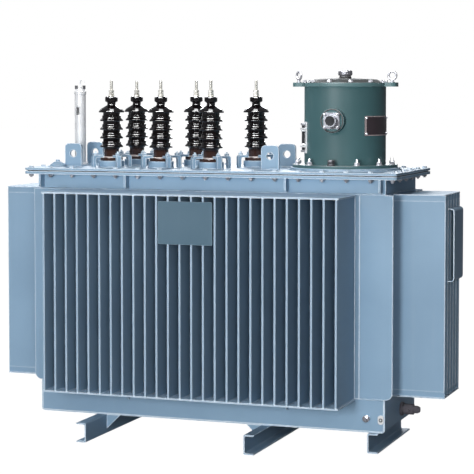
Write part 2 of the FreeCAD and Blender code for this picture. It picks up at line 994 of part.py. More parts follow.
def earth_pad():
    """Oval pad with a hole for an earthing strap."""
    bend = pad_width * 0.48
    oval = rounded_rectangle(pad_width / 2, pad_tall / 2, bend)
    pad = plate(oval, "xz", -half_width - pad_thickness, pad_thickness)
    hole = rod(pad_hole / 2, Vector(0, -half_width - pad_thickness, 0), pad_thickness,
               Vector(0, 1, 0))
    place = Vector(half_length - pad_from_end, 0, tray_bottom + pad_lift)
    return pad.cut(hole).translated(place)


# ---------------------------------------------------------------- assembly
def both_sides(front):
    return group([front, mirrored_y(front)])


def both_ends(right):
    return group([right, mirrored_x(right)])


def tank_nodes():
    stiffeners = front_stiffeners()
    brackets = front_brackets()
    lids = right_fin_lids()
    front_wall = front_fin_wall()
    right_wall = right_fin_wall()
    shelves = front_fin_shelves()
    return {
        "left_skid": channel(left_skid_x, -1, skid_reach),
        "middle_skid": channel(middle_skid_x, 1, skid_reach),
        "right_skid": channel(right_skid_x, 1, half_width + short_skid_proud),
        "skid_gussets": skid_gussets(),
        "tray_floor": tray_floor(),
        "tray_ends": both_ends(right_tray_end()),
        "tray_sides": both_sides(front_tray_side()),
        "front_fin_wall": front_wall,
        "rear_fin_wall": mirrored_y(front_wall),
        "right_fin_wall": right_wall,
        "left_fin_wall": mirrored_x(right_wall),
        "side_corner_strips": four_corners(front_right_strip()),
        "end_corner_strips": four_corners(front_right_end_strip()),
        "front_fin_shelves": shelves,
        "rear_fin_shelves": mirrored_y(shelves),
        "end_fin_lids": group(lids + [mirrored_x(lid) for lid in lids]),
        "band_sides": both_sides(front_band_side()),
        "band_ends": both_ends(right_band_end()),
        "flange_sides": both_sides(front_flange_bar()),
        "flange_ends": both_ends(right_flange_bar()),
        "cover_gasket": cover_gasket(),
        "cover_plate": cover_plate(),
        "band_stiffeners": group(stiffeners + [mirrored_y(rib) for rib in stiffeners]),
        "shelf_brackets": group(brackets + [mirrored_y(rib) for rib in brackets]),
        "front_name_plate": front_name_plate(),
        "end_bracket": end_bracket(),
        "drain_valve": drain_valve(),
        "earth_stud": earth_stud(),
        "earth_pad": earth_pad(),
    }


def cover_nodes():
    nodes = {}
    for side, x in (
        ("left", -half_length + left_lug_from_end),
        ("right", half_length - right_lug_from_end),
    ):
        nodes[f"{side}_lifting_lugs"] = both_sides(lifting_lug(x, -lug_row_y))
    rows = {
        "front": (front_bushing_from_end, front_bushing_y),
        "rear": (rear_bushing_from_end, rear_bushing_y),
    }
    for row, (places, y) in rows.items():
        clamps = []
        studs = []
        for side, place in zip(("left", "middle", "right"), places):
            x = place - half_length
            nodes[f"{row}_{side}_bushing"] = porcelain(x, y)
            clamps += bushing_clamp(x, y)
            studs.append(terminal_stud(x, y))
        nodes[f"{row}_bushing_clamps"] = group(clamps)
        nodes[f"{row}_terminal_studs"] = group(studs)
    nodes["level_tube"] = level_tube()
    nodes["level_tube_cap"] = level_tube_cap()
    nodes["filler_plug"] = filler_plug()
    return nodes


def changer_nodes():
    return {
        "changer_seat": changer_seat(),
        "changer_drum_flange": changer_drum_flange(),
        "changer_drum": changer_drum(),
        "changer_lid": changer_lid(),
        "changer_cap": changer_cap(),
        "changer_eye_bolts": changer_eye_bolts(),
        "changer_sight_boss": changer_sight_boss(),
        "changer_sight_bezel": changer_sight_bezel(),
        "changer_sight_glass": changer_sight_glass(),
        "changer_name_plate": changer_name_plate(),
        "changer_oil_gauge": changer_oil_gauge(),
        "changer_gauge_glass": changer_gauge_glass(),
    }


def main():
    os.makedirs("parts", exist_ok=True)
    nodes = {**tank_nodes(), **cover_nodes(), **changer_nodes()}
    whole = Part.makeCompound(list(nodes.values())).BoundBox
    shift = Vector(-whole.Center.x, -whole.Center.y, -whole.ZMin)
    for name, shape in nodes.items():
        shape.translated(shift).exportStep(f"parts/{name}.step")
    print("pieces", len(nodes), "shift", round(shift.x, 3), round(shift.y, 3), round(shift.z, 3))


main()
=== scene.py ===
import json
import math

import bpy
from mathutils import Matrix, Vector


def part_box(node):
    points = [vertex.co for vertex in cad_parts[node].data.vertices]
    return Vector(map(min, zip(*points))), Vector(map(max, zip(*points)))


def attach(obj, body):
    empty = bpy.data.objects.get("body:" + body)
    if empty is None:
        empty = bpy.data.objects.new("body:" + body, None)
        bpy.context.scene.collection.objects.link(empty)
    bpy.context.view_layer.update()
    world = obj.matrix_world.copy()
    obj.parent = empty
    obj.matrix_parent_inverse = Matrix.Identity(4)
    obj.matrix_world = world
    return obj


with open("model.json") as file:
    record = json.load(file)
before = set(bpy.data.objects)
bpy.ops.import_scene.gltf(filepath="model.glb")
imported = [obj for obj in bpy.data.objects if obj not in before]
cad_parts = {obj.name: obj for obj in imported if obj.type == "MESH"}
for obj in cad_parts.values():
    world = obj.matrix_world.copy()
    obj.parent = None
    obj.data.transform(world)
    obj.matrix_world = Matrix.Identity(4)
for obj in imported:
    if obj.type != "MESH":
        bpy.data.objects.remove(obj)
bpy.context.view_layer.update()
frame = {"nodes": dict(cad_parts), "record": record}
nodes = frame["nodes"]
print("frame loaded:", len(nodes), "nodes")


# a small kit for editing by hand in code

def deselectAll():
    if bpy.context.mode != "OBJECT":
        bpy.ops.object.mode_set(mode="OBJECT")
    bpy.ops.object.select_all(action="DESELECT")


def takeUp(piece):
    deselectAll()
    piece.select_set(True)
    bpy.context.view_layer.objects.active = piece


def clearPick(selectMode):
    bpy.ops.object.mode_set(mode="EDIT")
    bpy.context.tool_settings.mesh_select_mode = selectMode
    bpy.ops.mesh.select_all(action="DESELECT")
    bpy.ops.object.mode_set(mode="OBJECT")


def pickFaces(piece, wanted):
    # leaves the piece in edit mode with the wanted faces selected, by their middle and normal
    clearPick((False, False, True))
    for face in piece.data.polygons:
        face.select = wanted(face.center, face.normal)
    bpy.ops.object.mode_set(mode="EDIT")


def pickEdges(piece, wanted):
    # the same for edges, by their two ends
    clearPick((False, True, False))
    corners = piece.data.vertices
    for edge in piece.data.edges:
        edge.select = wanted(corners[edge.vertices[0]].co, corners[edge.vertices[1]].co)
    bpy.ops.object.mode_set(mode="EDIT")


def pickAll(piece):
    takeUp(piece)
    bpy.ops.object.mode_set(mode="EDIT")
    bpy.ops.mesh.select_all(action="SELECT")


def leaveEdit():
    bpy.ops.object.mode_set(mode="OBJECT")


def squeeze(scale, centre):
    # resizes what is picked, then leaves edit mode
    bpy.ops.transform.resize(value=scale, center_override=centre)
    leaveEdit()


def pullUp(distance):
    bpy.ops.mesh.extrude_region_move(TRANSFORM_OT_translate={"value": (0, 0, distance)})


def applyPlace(piece):
    takeUp(piece)
    bpy.ops.object.transform_apply(location=True, rotation=True, scale=True)


def addDisc(radius, bottom, top, sides, middle=(0, 0)):
    deselectAll()
    bpy.ops.mesh.primitive_cylinder_add(
        vertices=sides, radius=radius, depth=top - bottom,
        location=(middle[0], middle[1], (bottom + top) / 2))
    disc = bpy.context.active_object
    applyPlace(disc)
    return disc


def addRing(radius, tube, steps, roundSteps=10, place=(0, 0, 0), turn=(0, 0, 0)):
    deselectAll()
    bpy.ops.mesh.primitive_torus_add(
        major_segments=steps, minor_segments=roundSteps, major_radius=radius, minor_radius=tube,
        location=place, rotation=turn)
    ring = bpy.context.active_object
    applyPlace(ring)
    return ring


def softenEdges(piece, width, segments=1):
    takeUp(piece)
    bevel = piece.modifiers.new("softened", "BEVEL")
    bevel.width = width
    bevel.segments = segments
    bevel.limit_method = "ANGLE"
    bevel.angle_limit = math.radians(32)
    bpy.ops.object.modifier_apply(modifier=bevel.name)


def joinPieces(pieces):
    deselectAll()
    for piece in pieces:
        piece.select_set(True)
    bpy.context.view_layer.objects.active = pieces[0]
    bpy.ops.object.join()
    return bpy.context.active_object


def smoothByAngle(piece, degrees):
    takeUp(piece)
    bpy.ops.object.shade_smooth_by_angle(angle=math.radians(degrees))


def finishPiece(piece, name, material):
    piece.name = name
    piece.data.name = name
    piece.data.materials.clear()
    piece.data.materials.append(material)
    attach(piece, "root")
    return piece


def placeCopies(pattern, name, places, material, smooth=35):
    # each place is a matrix; every copy keeps its own mesh, with its place in it
    smoothByAngle(pattern, smooth)
    for number, place in enumerate(places, 1):
        twin = pattern.copy()
        twin.data = pattern.data.copy()
        twin.data.transform(place)
        bpy.context.scene.collection.objects.link(twin)
        finishPiece(twin, f"{name}_{number:02d}", material)
    bpy.data.objects.remove(pattern)


def standAt(x, y, z, turn=0.0):
    return Matrix.Translation((x, y, z)) @ Matrix.Rotation(turn, 4, "Z")


def standRound(middle, radius, angle, z, spin=0.0):
    # on a ring about a middle, turned with the ring
    return standAt(middle.x + radius * math.cos(angle), middle.y + radius * math.sin(angle), z, angle + spin)


def frontFacing(x, y, z):
    # turns a piece that looks up so that it looks towards the front
    return Matrix.Translation((x, y, z)) @ Matrix.Rotation(math.radians(90), 4, "X")


def middleOf(node):
    low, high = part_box(node)
    return (low + high) / 2


# shader groups that several finishes share

def newGroup(name, inputs, outputs):
    group = bpy.data.node_groups.new(name, "ShaderNodeTree")
    for socketName, socketType, value in inputs:
        socket = group.interface.new_socket(name=socketName, in_out="INPUT", socket_type=socketType)
        if value is not None:
            socket.default_value = value
    for socketName, socketType in outputs:
        group.interface.new_socket(name=socketName, in_out="OUTPUT", socket_type=socketType)
    start = group.nodes.new("NodeGroupInput")
    end = group.nodes.new("NodeGroupOutput")
    start.location = (-800, 0)
    end.location = (600, 0)
    return group, group.links.new, start, end


def addNode(tree, kind, place, values=None, **settings):
    node = tree.nodes.new(kind)
    node.location = place
    for key, value in settings.items():
        setattr(node, key, value)
    for key, value in (values or {}).items():
        node.inputs[key].default_value = value
    return node


def mathNode(tree, operation, place, first=None, second=None):
    node = tree.nodes.new("ShaderNodeMath")
    node.operation = operation
    node.location = place
    for socket, value in zip(node.inputs, (first, second)):
        if isinstance(value, (int, float)):
            socket.default_value = value
        elif value is not None:
            tree.links.new(value, socket)
    return node.outputs[0]


def addNoise(tree, place, vector, scale, detail, roughness=0.5):
    node = addNode(tree, "ShaderNodeTexNoise", place,
                   {"Scale": scale, "Detail": detail, "Roughness": roughness})
    tree.links.new(vector, node.inputs["Vector"])
    return node


def makeEdgeGroup():
    # a mask where two faces meet: the paints and metals lay a painted highlight there, the porcelain its
    # thinner glaze
    group, link, start, end = newGroup(
        "edgeHighlightAndGlaze", [("Width", "NodeSocketFloat", 0.003)], [("Mask", "NodeSocketFloat")])
    rounded = addNode(group, "ShaderNodeBevel", (-500, 100), samples=4)
    link(start.outputs["Width"], rounded.inputs["Radius"])
    flat = addNode(group, "ShaderNodeNewGeometry", (-500, -150))
    match = addNode(group, "ShaderNodeVectorMath", (-250, 0), operation="DOT_PRODUCT")
    link(rounded.outputs["Normal"], match.inputs[0])
    link(flat.outputs["Normal"], match.inputs[1])
    spread = addNode(group, "ShaderNodeMapRange", (0, 0),
                     {"From Min": 0.995, "From Max": 0.80, "To Min": 0.0, "To Max": 1.0})
    link(match.outputs["Value"], spread.inputs["Value"])
    link(spread.outputs["Result"], end.inputs["Mask"])
    return group


def makePaintGroup():
    # slow changes of tone, the orange-peel skin of sprayed enamel and the sheet's own gentle waves
    group, link, start, end = newGroup(
        "sprayedSkin",
        [("Place", "NodeSocketVector", None), ("Peel scale", "NodeSocketFloat", 420.0),
         ("Peel", "NodeSocketFloat", 0.4), ("Waves", "NodeSocketFloat", 0.6)],
        [("Tone", "NodeSocketFloat"), ("Height", "NodeSocketFloat")])
    place = start.outputs["Place"]
    broad = addNoise(group, (-500, 300), place, 2.3, 4.0, 0.55)
    peel = addNoise(group, (-500, 0), place, 5.0, 2.0, 0.6)  # its scale comes from the group's input
    waves = addNoise(group, (-500, -300), place, 9.0, 1.0)
    link(start.outputs["Peel scale"], peel.inputs["Scale"])
    link(broad.outputs["Fac"], end.inputs["Tone"])
    fine = mathNode(group, "MULTIPLY", (-200, 0), peel.outputs["Fac"], start.outputs["Peel"])
    slow = mathNode(group, "MULTIPLY", (-200, -300), waves.outputs["Fac"], start.outputs["Waves"])
    total = mathNode(group, "ADD", (50, -100), fine, slow)
    link(total, end.inputs["Height"])
    return group


def makeDustGroup():
    # a thin dry film that settles on what faces up, and faint runs down what stands; the lid uses the same
    # mask, dark, as painted shade on its up-facing top
    group, link, start, end = newGroup(
        "dustAndShadeFilm", [("Place", "NodeSocketVector", None), ("Amount", "NodeSocketFloat", 0.5)],
        [("Mask", "NodeSocketFloat")])
    shape = addNode(group, "ShaderNodeNewGeometry", (-700, 300))
    parts = addNode(group, "ShaderNodeSeparateXYZ", (-500, 300))
    link(shape.outputs["Normal"], parts.inputs["Vector"])
    upward = addNode(group, "ShaderNodeMapRange", (-300, 300), {"From Min": 0.3, "From Max": 1.0})
    link(parts.outputs["Z"], upward.inputs["Value"])
    patches = addNoise(group, (-500, 0), start.outputs["Place"], 14.0, 5.0)
    tall = addNode(group, "ShaderNodeMapping", (-700, -300), {"Scale": (38.0, 38.0, 1.6)})
    link(start.outputs["Place"], tall.inputs["Vector"])
    runs = addNoise(group, (-500, -300), tall.outputs["Vector"], 1.0, 3.0)
    thinRuns = addNode(group, "ShaderNodeMapRange", (-300, -300),
                       {"From Min": 0.56, "From Max": 0.78, "To Max": 0.35})
    link(runs.outputs["Fac"], thinRuns.inputs["Value"])
    lying = mathNode(group, "MULTIPLY", (-100, 200), upward.outputs["Result"], patches.outputs["Fac"])
    both = mathNode(group, "MAXIMUM", (50, 0), lying, thinRuns.outputs["Result"])
    scaled = mathNode(group, "MULTIPLY", (250, 0), both, start.outputs["Amount"])
    link(scaled, end.inputs["Mask"])
    return group


def makeMetalGroup():
    # drawn or turned grain along one direction, set by how the place is stretched
    group, link, start, end = newGroup(
        "metalGrain",
        [("Place", "NodeSocketVector", None), ("Stretch", "NodeSocketVector", (1.0, 1.0, 1.0))],
        [("Grain", "NodeSocketFloat"), ("Spots", "NodeSocketFloat")])
    pulled = addNode(group, "ShaderNodeVectorMath", (-600, 100), operation="MULTIPLY")
    link(start.outputs["Place"], pulled.inputs[0])
    link(start.outputs["Stretch"], pulled.inputs[1])
    grain = addNoise(group, (-300, 100), pulled.outputs["Vector"], 60.0, 6.0)
    spots = addNode(group, "ShaderNodeTexVoronoi", (-300, -200), {"Scale": 210.0})
    link(start.outputs["Place"], spots.inputs["Vector"])
    link(grain.outputs["Fac"], end.inputs["Grain"])
    link(spots.outputs["Distance"], end.inputs["Spots"])
    return group


edgeHighlightAndGlaze = makeEdgeGroup()
sprayedSkin = makePaintGroup()
dustAndShadeFilm = makeDustGroup()
metalGrain = makeMetalGroup()
print("shader groups ready")


# finishes

def newMaterial(name):
    material = bpy.data.materials.new(name)
    material.use_nodes = True
    tree = material.node_tree
    tree.nodes.clear()
    shader = addNode(tree, "ShaderNodeBsdfPrincipled", (700, 0))
    output = addNode(tree, "ShaderNodeOutputMaterial", (1000, 0))
    tree.links.new(shader.outputs["BSDF"], output.inputs["Surface"])
    place = addNode(tree, "ShaderNodeTexCoord", (-900, 0))
    return material, tree, tree.links.new, shader, place.outputs["Object"]


def useGroup(tree, group, place, links, values):
    node = tree.nodes.new("ShaderNodeGroup")
    node.node_tree = group
    node.location = place
    for key, source in links.items():
        tree.links.new(source, node.inputs[key])
    for key, value in values.items():
        node.inputs[key].default_value = value
    return node


def mixColours(tree, place, factor, first, second):
    node = addNode(tree, "ShaderNodeMix", place, data_type="RGBA")
    tree.links.new(factor, node.inputs["Factor"])
    for socket, value in ((node.inputs[6], first), (node.inputs[7], second)):
        if isinstance(value, tuple):
            socket.default_value = (*value, 1.0)
        else:
            tree.links.new(value, socket)
    return node.outputs[2]


def spreadValue(tree, place, source, low, high, toLow, toHigh):
    node = addNode(tree, "ShaderNodeMapRange", place,
                   {"From Min": low, "From Max": high, "To Min": toLow, "To Max": toHigh})
    tree.links.new(source, node.inputs["Value"])
    return node.outputs["Result"]


def bumpFrom(tree, place, height, strength, distance):
    node = addNode(tree, "ShaderNodeBump", place, {"Strength": strength, "Distance": distance})
    tree.links.new(height, node.inputs["Height"])
    return node.outputs["Normal"]


def setGloss(shader, look):
    shader.inputs["Specular IOR Level"].default_value = look["specular"]
    shader.inputs["Coat Weight"].default_value = look["coat"]
    shader.inputs["Coat Roughness"].default_value = look["coatRoughness"]


def makeEnamel(name, look):
    # sprayed paint: body tone, a painted highlight along the edges, then dust, which on the lid is a dark
    # painted shade on its top
    material, tree, link, shader, place = newMaterial(name)
    skin = useGroup(tree, sprayedSkin, (-600, 200), {"Place": place},
                    {"Peel scale": look["peelScale"], "Peel": look["peel"], "Waves": look["waves"]})
    edge = useGroup(tree, edgeHighlightAndGlaze, (-600, -100), {}, {"Width": look["edgeWidth"]})
    dustAndShade = useGroup(tree, dustAndShadeFilm, (-600, -300), {"Place": place}, {"Amount": look["dustAndShade"]})
    tone = spreadValue(tree, (-350, 200), skin.outputs["Tone"], 0.3, 0.7, 0.0, 1.0)
    body = mixColours(tree, (-100, 250), tone, look["deep"], look["light"])
    # painted highlight: the look's edge colour laid along every edge
    edgeHighlightAmount = mathNode(tree, "MULTIPLY", (-350, -100), edge.outputs["Mask"], look["edgeHighlightAmount"])
    highlighted = mixColours(tree, (100, 150), edgeHighlightAmount, body, look["edge"])
    # dust on the tank and the other paints; on the lid this lays painted shade on the top
    dustedAndShaded = mixColours(tree, (300, 100), dustAndShade.outputs["Mask"], highlighted, look["dustAndShadeColour"])
    link(dustedAndShaded, shader.inputs["Base Color"])
    gloss = spreadValue(tree, (-100, -200), skin.outputs["Tone"], 0.3, 0.7,
                        look["roughness"] * 0.88, look["roughness"] * 1.12)
    dulled = mathNode(tree, "ADD", (300, -200), gloss,
                      mathNode(tree, "MULTIPLY", (100, -300), dustAndShade.outputs["Mask"], 0.35))
    link(dulled, shader.inputs["Roughness"])
    normal = bumpFrom(tree, (300, -450), skin.outputs["Height"], look["bump"], 0.0012)
    link(normal, shader.inputs["Normal"])
    setGloss(shader, look)
    return material


# the edge colour of each paint look is a painted highlight along its edges
tankLook = {
    "deep": (0.188, 0.293, 0.405), "light": (0.220, 0.338, 0.458), "edge": (0.86, 0.93, 0.98),
    "edgeWidth": 0.005, "edgeHighlightAmount": 1.0, "dustAndShade": 0.16, "dustAndShadeColour": (0.40, 0.46, 0.50),
    "peelScale": 420.0, "peel": 0.25, "waves": 0.8, "bump": 0.22,
    "roughness": 0.50, "specular": 0.28, "coat": 0.03, "coatRoughness": 0.30,
}
tankPaint = makeEnamel("tankPaint", tankLook)

changerLook = {
    "deep": (0.036, 0.092, 0.100), "light": (0.047, 0.112, 0.122), "edge": (0.26, 0.40, 0.42),
    "edgeWidth": 0.003, "edgeHighlightAmount": 0.5, "dustAndShade": 0.12, "dustAndShadeColour": (0.20, 0.26, 0.27),
    "peelScale": 380.0, "peel": 0.3, "waves": 0.9, "bump": 0.25,
    "roughness": 0.40, "specular": 0.36, "coat": 0.06, "coatRoughness": 0.28,
}
changerPaint = makeEnamel("changerPaint", changerLook)
# the changer paint made lighter for the lid as painted light on its rim, with its up-facing top painted near
# black as painted shade
lidLightAndShadeLook = dict(changerLook, deep=(0.075, 0.150, 0.160), light=(0.090, 0.172, 0.182),
               dustAndShade=2.6, dustAndShadeColour=(0.006, 0.011, 0.013))  # its up-facing top is painted near black: painted shade
lidLightAndShadePaint = makeEnamel("lidLightAndShadePaint", lidLightAndShadeLook)

valveLook = {
    "deep": (0.068, 0.064, 0.076), "light": (0.092, 0.086, 0.100), "edge": (0.26, 0.25, 0.28),
    "edgeWidth": 0.002, "edgeHighlightAmount": 0.5, "dustAndShade": 0.3, "dustAndShadeColour": (0.18, 0.18, 0.18),
    "peelScale": 500.0, "peel": 0.5, "waves": 0.2, "bump": 0.3,
    "roughness": 0.5, "specular": 0.5, "coat": 0.0, "coatRoughness": 0.3,
}
valvePaint = makeEnamel("valvePaint", valveLook)

darkPlateLook = {
    "deep": (0.026, 0.019, 0.024), "light": (0.038, 0.027, 0.032), "edge": (0.45, 0.36, 0.36),
    "edgeWidth": 0.002, "edgeHighlightAmount": 0.8, "dustAndShade": 0.15, "dustAndShadeColour": (0.10, 0.09, 0.09),
    "peelScale": 600.0, "peel": 0.15, "waves": 0.4, "bump": 0.12,
    "roughness": 0.36, "specular": 0.5, "coat": 0.2, "coatRoughness": 0.15,
}
darkPlatePaint = makeEnamel("darkPlatePaint", darkPlateLook)

namePlateLook = {
    "deep": (0.045, 0.099, 0.143), "light": (0.055, 0.114, 0.162), "edge": (0.28, 0.38, 0.45),
    "edgeWidth": 0.003, "edgeHighlightAmount": 0.7, "dustAndShade": 0.12, "dustAndShadeColour": (0.20, 0.26, 0.30),
    "peelScale": 600.0, "peel": 0.1, "waves": 0.5, "bump": 0.12,
    "roughness": 0.42, "specular": 0.45, "coat": 0.1, "coatRoughness": 0.2,
}
namePlatePaint = makeEnamel("namePlatePaint", namePlateLook)


def makeMetal(name, look):
    material, tree, link, shader, place = newMaterial(name)
    grain = useGroup(tree, metalGrain, (-600, 100), {"Place": place}, {"Stretch": look["stretch"]})
    edge = useGroup(tree, edgeHighlightAndGlaze, (-600, -150), {}, {"Width": look["edgeWidth"]})
    mottled = mixColours(tree, (-100, 200), grain.outputs["Spots"], look["deep"], look["light"])
    # painted highlight: half of the edge colour laid along every edge
    edgeHighlightAmount = mathNode(tree, "MULTIPLY", (-100, -50), edge.outputs["Mask"], 0.5)
    colour = mixColours(tree, (150, 150), edgeHighlightAmount, mottled, look["edge"])
    link(colour, shader.inputs["Base Color"])
    rough = spreadValue(tree, (150, -150), grain.outputs["Grain"], 0.3, 0.7,
                        look["roughness"] * 0.75, look["roughness"] * 1.25)
    link(rough, shader.inputs["Roughness"])
    normal = bumpFrom(tree, (300, -350), grain.outputs["Grain"], look["bump"], 0.0004)
    link(normal, shader.inputs["Normal"])
    shader.inputs["Metallic"].default_value = look["metallic"]
    return material


# the edge colour of each metal look is a painted highlight along its edges
zincLook = {
    "deep": (0.38, 0.38, 0.41), "light": (0.60, 0.60, 0.64), "edge": (0.92, 0.92, 0.93),
    "stretch": (1.0, 1.0, 6.0), "edgeWidth": 0.0012, "roughness": 0.36, "bump": 0.15, "metallic": 0.8,
}
zincMetal = makeMetal("zincMetal", zincLook)

terminalLook = {
    "deep": (0.66, 0.63, 0.56), "light": (0.86, 0.84, 0.78), "edge": (0.96, 0.95, 0.92),
    "stretch": (1.0, 1.0, 9.0), "edgeWidth": 0.001, "roughness": 0.26, "bump": 0.2, "metallic": 0.7,
}
terminalMetal = makeMetal("terminalMetal", terminalLook)

tubeLook = {
    "deep": (0.68, 0.69, 0.71), "light": (0.78, 0.79, 0.80), "edge": (0.86, 0.86, 0.87),
    "stretch": (3.0, 3.0, 0.4), "edgeWidth": 0.0015, "roughness": 0.36, "bump": 0.08, "metallic": 0.25,
}
tubeMetal = makeMetal("tubeMetal", tubeLook)

bezelLook = {
    "deep": (0.18, 0.18, 0.20), "light": (0.31, 0.31, 0.34), "edge": (0.86, 0.87, 0.89),
    "stretch": (1.0, 5.0, 1.0), "edgeWidth": 0.0014, "roughness": 0.34, "bump": 0.15, "metallic": 0.7,
}
bezelMetal = makeMetal("bezelMetal", bezelLook)

darkSteelLook = {
    "deep": (0.05, 0.05, 0.055), "light": (0.10, 0.10, 0.11), "edge": (0.30, 0.30, 0.32),
    "stretch": (1.0, 1.0, 3.0), "edgeWidth": 0.001, "roughness": 0.45, "bump": 0.2, "metallic": 0.6,
}
darkSteel = makeMetal("darkSteel", darkSteelLook)

plateRimLook = {
    "deep": (0.42, 0.34, 0.35), "light": (0.62, 0.52, 0.52), "edge": (0.85, 0.78, 0.78),
    "stretch": (1.0, 1.0, 1.0), "edgeWidth": 0.001, "roughness": 0.35, "bump": 0.1, "metallic": 0.6,
}
plateRimMetal = makeMetal("plateRimMetal", plateRimLook)


porcelainLook = {
    "glaze": (0.0045, 0.0032, 0.0035), "thinGlaze": (0.016, 0.008, 0.006), "collar": (0.042, 0.022, 0.018),
    "collarTop": 1.202, "collarFade": 0.016, "edgeWidth": 0.0025, "roughness": 0.05,
    "specular": 0.5, "coat": 0.5, "coatRoughness": 0.03,
}


def makePorcelain(look):
    # near-black glaze, with the brown body showing through on the collar under the sheds
    material, tree, link, shader, place = newMaterial("glazedPorcelain")
    pool = addNoise(tree, (-600, 250), place, 26.0, 3.0)
    edge = useGroup(tree, edgeHighlightAndGlaze, (-600, 50), {}, {"Width": look["edgeWidth"]})
    thin = mathNode(tree, "MULTIPLY", (-350, 100), edge.outputs["Mask"], pool.outputs["Fac"])
    glaze = mixColours(tree, (-100, 200), thin, look["glaze"], look["thinGlaze"])
    height = addNode(tree, "ShaderNodeSeparateXYZ", (-600, -150))
    link(place, height.inputs["Vector"])
    low = spreadValue(tree, (-350, -150), height.outputs["Z"], look["collarTop"],
                      look["collarTop"] - look["collarFade"], 0.0, 1.0)
    colour = mixColours(tree, (150, 100), low, glaze, look["collar"])
    link(colour, shader.inputs["Base Color"])
    rough = spreadValue(tree, (150, -150), pool.outputs["Fac"], 0.3, 0.7,
                        look["roughness"] * 0.7, look["roughness"] * 1.5)
    link(rough, shader.inputs["Roughness"])
    link(bumpFrom(tree, (300, -350), pool.outputs["Fac"], 0.02, 0.002), shader.inputs["Normal"])
    setGloss(shader, look)
    return material


gaugeLook = {"oil": (0.010, 0.011, 0.013), "haze": (0.065, 0.068, 0.075), "smooth": 0.03, "dull": 0.09,
             "specular": 0.5, "coat": 1.0, "coatRoughness": 0.02}


def makeGaugeGlass(look):
    # glass with dark oil right behind it: faint cloudy layers under a polished face
    material, tree, link, shader, place = newMaterial("gaugeGlass")
    oil = addNoise(tree, (-600, 150), place, 40.0, 4.0)
    colour = mixColours(tree, (-100, 150), oil.outputs["Fac"], look["oil"], look["haze"])
    link(colour, shader.inputs["Base Color"])
    rough = spreadValue(tree, (100, -100), oil.outputs["Fac"], 0.2, 0.8, look["smooth"], look["dull"])
    link(rough, shader.inputs["Roughness"])
    link(bumpFrom(tree, (300, -300), oil.outputs["Fac"], 0.05, 0.001), shader.inputs["Normal"])
    setGloss(shader, look)
    return material


def makeRubber(name, look):
    # fine grit all over a dull sheet
    material, tree, link, shader, place = newMaterial(name)
    grit = addNoise(tree, (-600, 150), place, 300.0, 5.0)
    colour = mixColours(tree, (-100, 150), grit.outputs["Fac"], look["deep"], look["light"])
    link(colour, shader.inputs["Base Color"])
    rough = spreadValue(tree, (100, -100), grit.outputs["Fac"], 0.3, 0.7,
                        look["roughness"] * 0.85, look["roughness"] * 1.1)
    link(rough, shader.inputs["Roughness"])
    link(bumpFrom(tree, (300, -300), grit.outputs["Fac"], 0.4, 0.0005), shader.inputs["Normal"])
    return material


rubberLook = {"deep": (0.012, 0.012, 0.013), "light": (0.03, 0.03, 0.032), "roughness": 0.7}
corkLook = {"deep": (0.50, 0.41, 0.40), "light": (0.72, 0.62, 0.60), "roughness": 0.75}
porcelain = makePorcelain(porcelainLook)
gaugeGlass = makeGaugeGlass(gaugeLook)
blackRubber = makeRubber("blackRubber", rubberLook)
corkSheet = makeRubber("corkSheet", corkLook)

finishes = {
    "tank_paint": tankPaint, "changer_paint": changerPaint, "porcelain": porcelain,
    "terminal_metal": terminalMetal, "bright_metal": zincMetal, "gauge_glass": gaugeGlass,
    "dark_plate": darkPlatePaint, "name_plate": namePlatePaint, "level_tube_metal": tubeMetal,
    "gasket": blackRubber, "valve_metal": valvePaint,
}
# nodes whose finish differs from the rest of their slot
ownFinishes = {"changer_lid": lidLightAndShadePaint, "changer_sight_bezel": bezelMetal, "changer_cap": bezelMetal,
               "changer_oil_gauge": tubeMetal, "earth_pad": tubeMetal}
for part in frame["record"]["subparts"]:
    node = nodes[part["node"]]
    node.data.materials.clear()
    node.data.materials.append(ownFinishes.get(part["node"], finishes[part["material_slot"]]))
print("finishes on", len(nodes), "CAD nodes")


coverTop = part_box("cover_plate")[1].z


# bolts, nuts and studs

hexTop = 0.84  # how far a chamfer draws the top in


def hexBlock(across, bottom, top, chamfer):
    # six flats with a chamfered top
    block = addDisc(across / math.sqrt(3), bottom, top, 6)
    pickFaces(block, lambda middle, normal: normal.z > 0.9)
    pullUp(chamfer)
    squeeze((hexTop, hexTop, 1.0), (0, 0, top))
    return block


thread = {"pitch": 0.003, "fewest": 3, "root": 0.86, "tip": 0.7}


def studEnd(radius, bottom, top):
    # threaded end: a rod with rings cut into it and a narrower tip
    rings = max(thread["fewest"], int((top - bottom) / thread["pitch"]))
    rod = addDisc(radius, bottom, top, 12)
    pickEdges(rod, lambda a, b: abs(a.z - b.z) > (top - bottom) * 0.9)
    bpy.ops.mesh.subdivide(number_cuts=rings * 2 - 1)
    leaveEdit()
    halfPitch = (top - bottom) / rings / 2
    pickEdges(rod, lambda a, b: abs(a.z - b.z) < 1e-5 and round((a.z - bottom) / halfPitch) % 2 == 1)
    squeeze((thread["root"], thread["root"], 1.0), (0, 0, bottom))
    pickFaces(rod, lambda middle, normal: normal.z > 0.9)
    squeeze((thread["tip"], thread["tip"], 1.0), (0, 0, top))
    return rod


def washerRing(radius, bottom, top):
    ring = addDisc(radius, bottom, top, 18)
    softenEdges(ring, (top - bottom) * 0.35)
    return ring


coverBolt = {"inset": 0.022, "pitch": 0.1, "across": 0.017, "head": 0.0055, "washer": 0.012,
             "washerThick": 0.0018, "chamfer": 0.25, "shank": 0.0052, "nut": 0.0075, "end": 0.005,
             "turn": 0.37, "endPlaces": (-0.15, -0.05, 0.05, 0.15)}


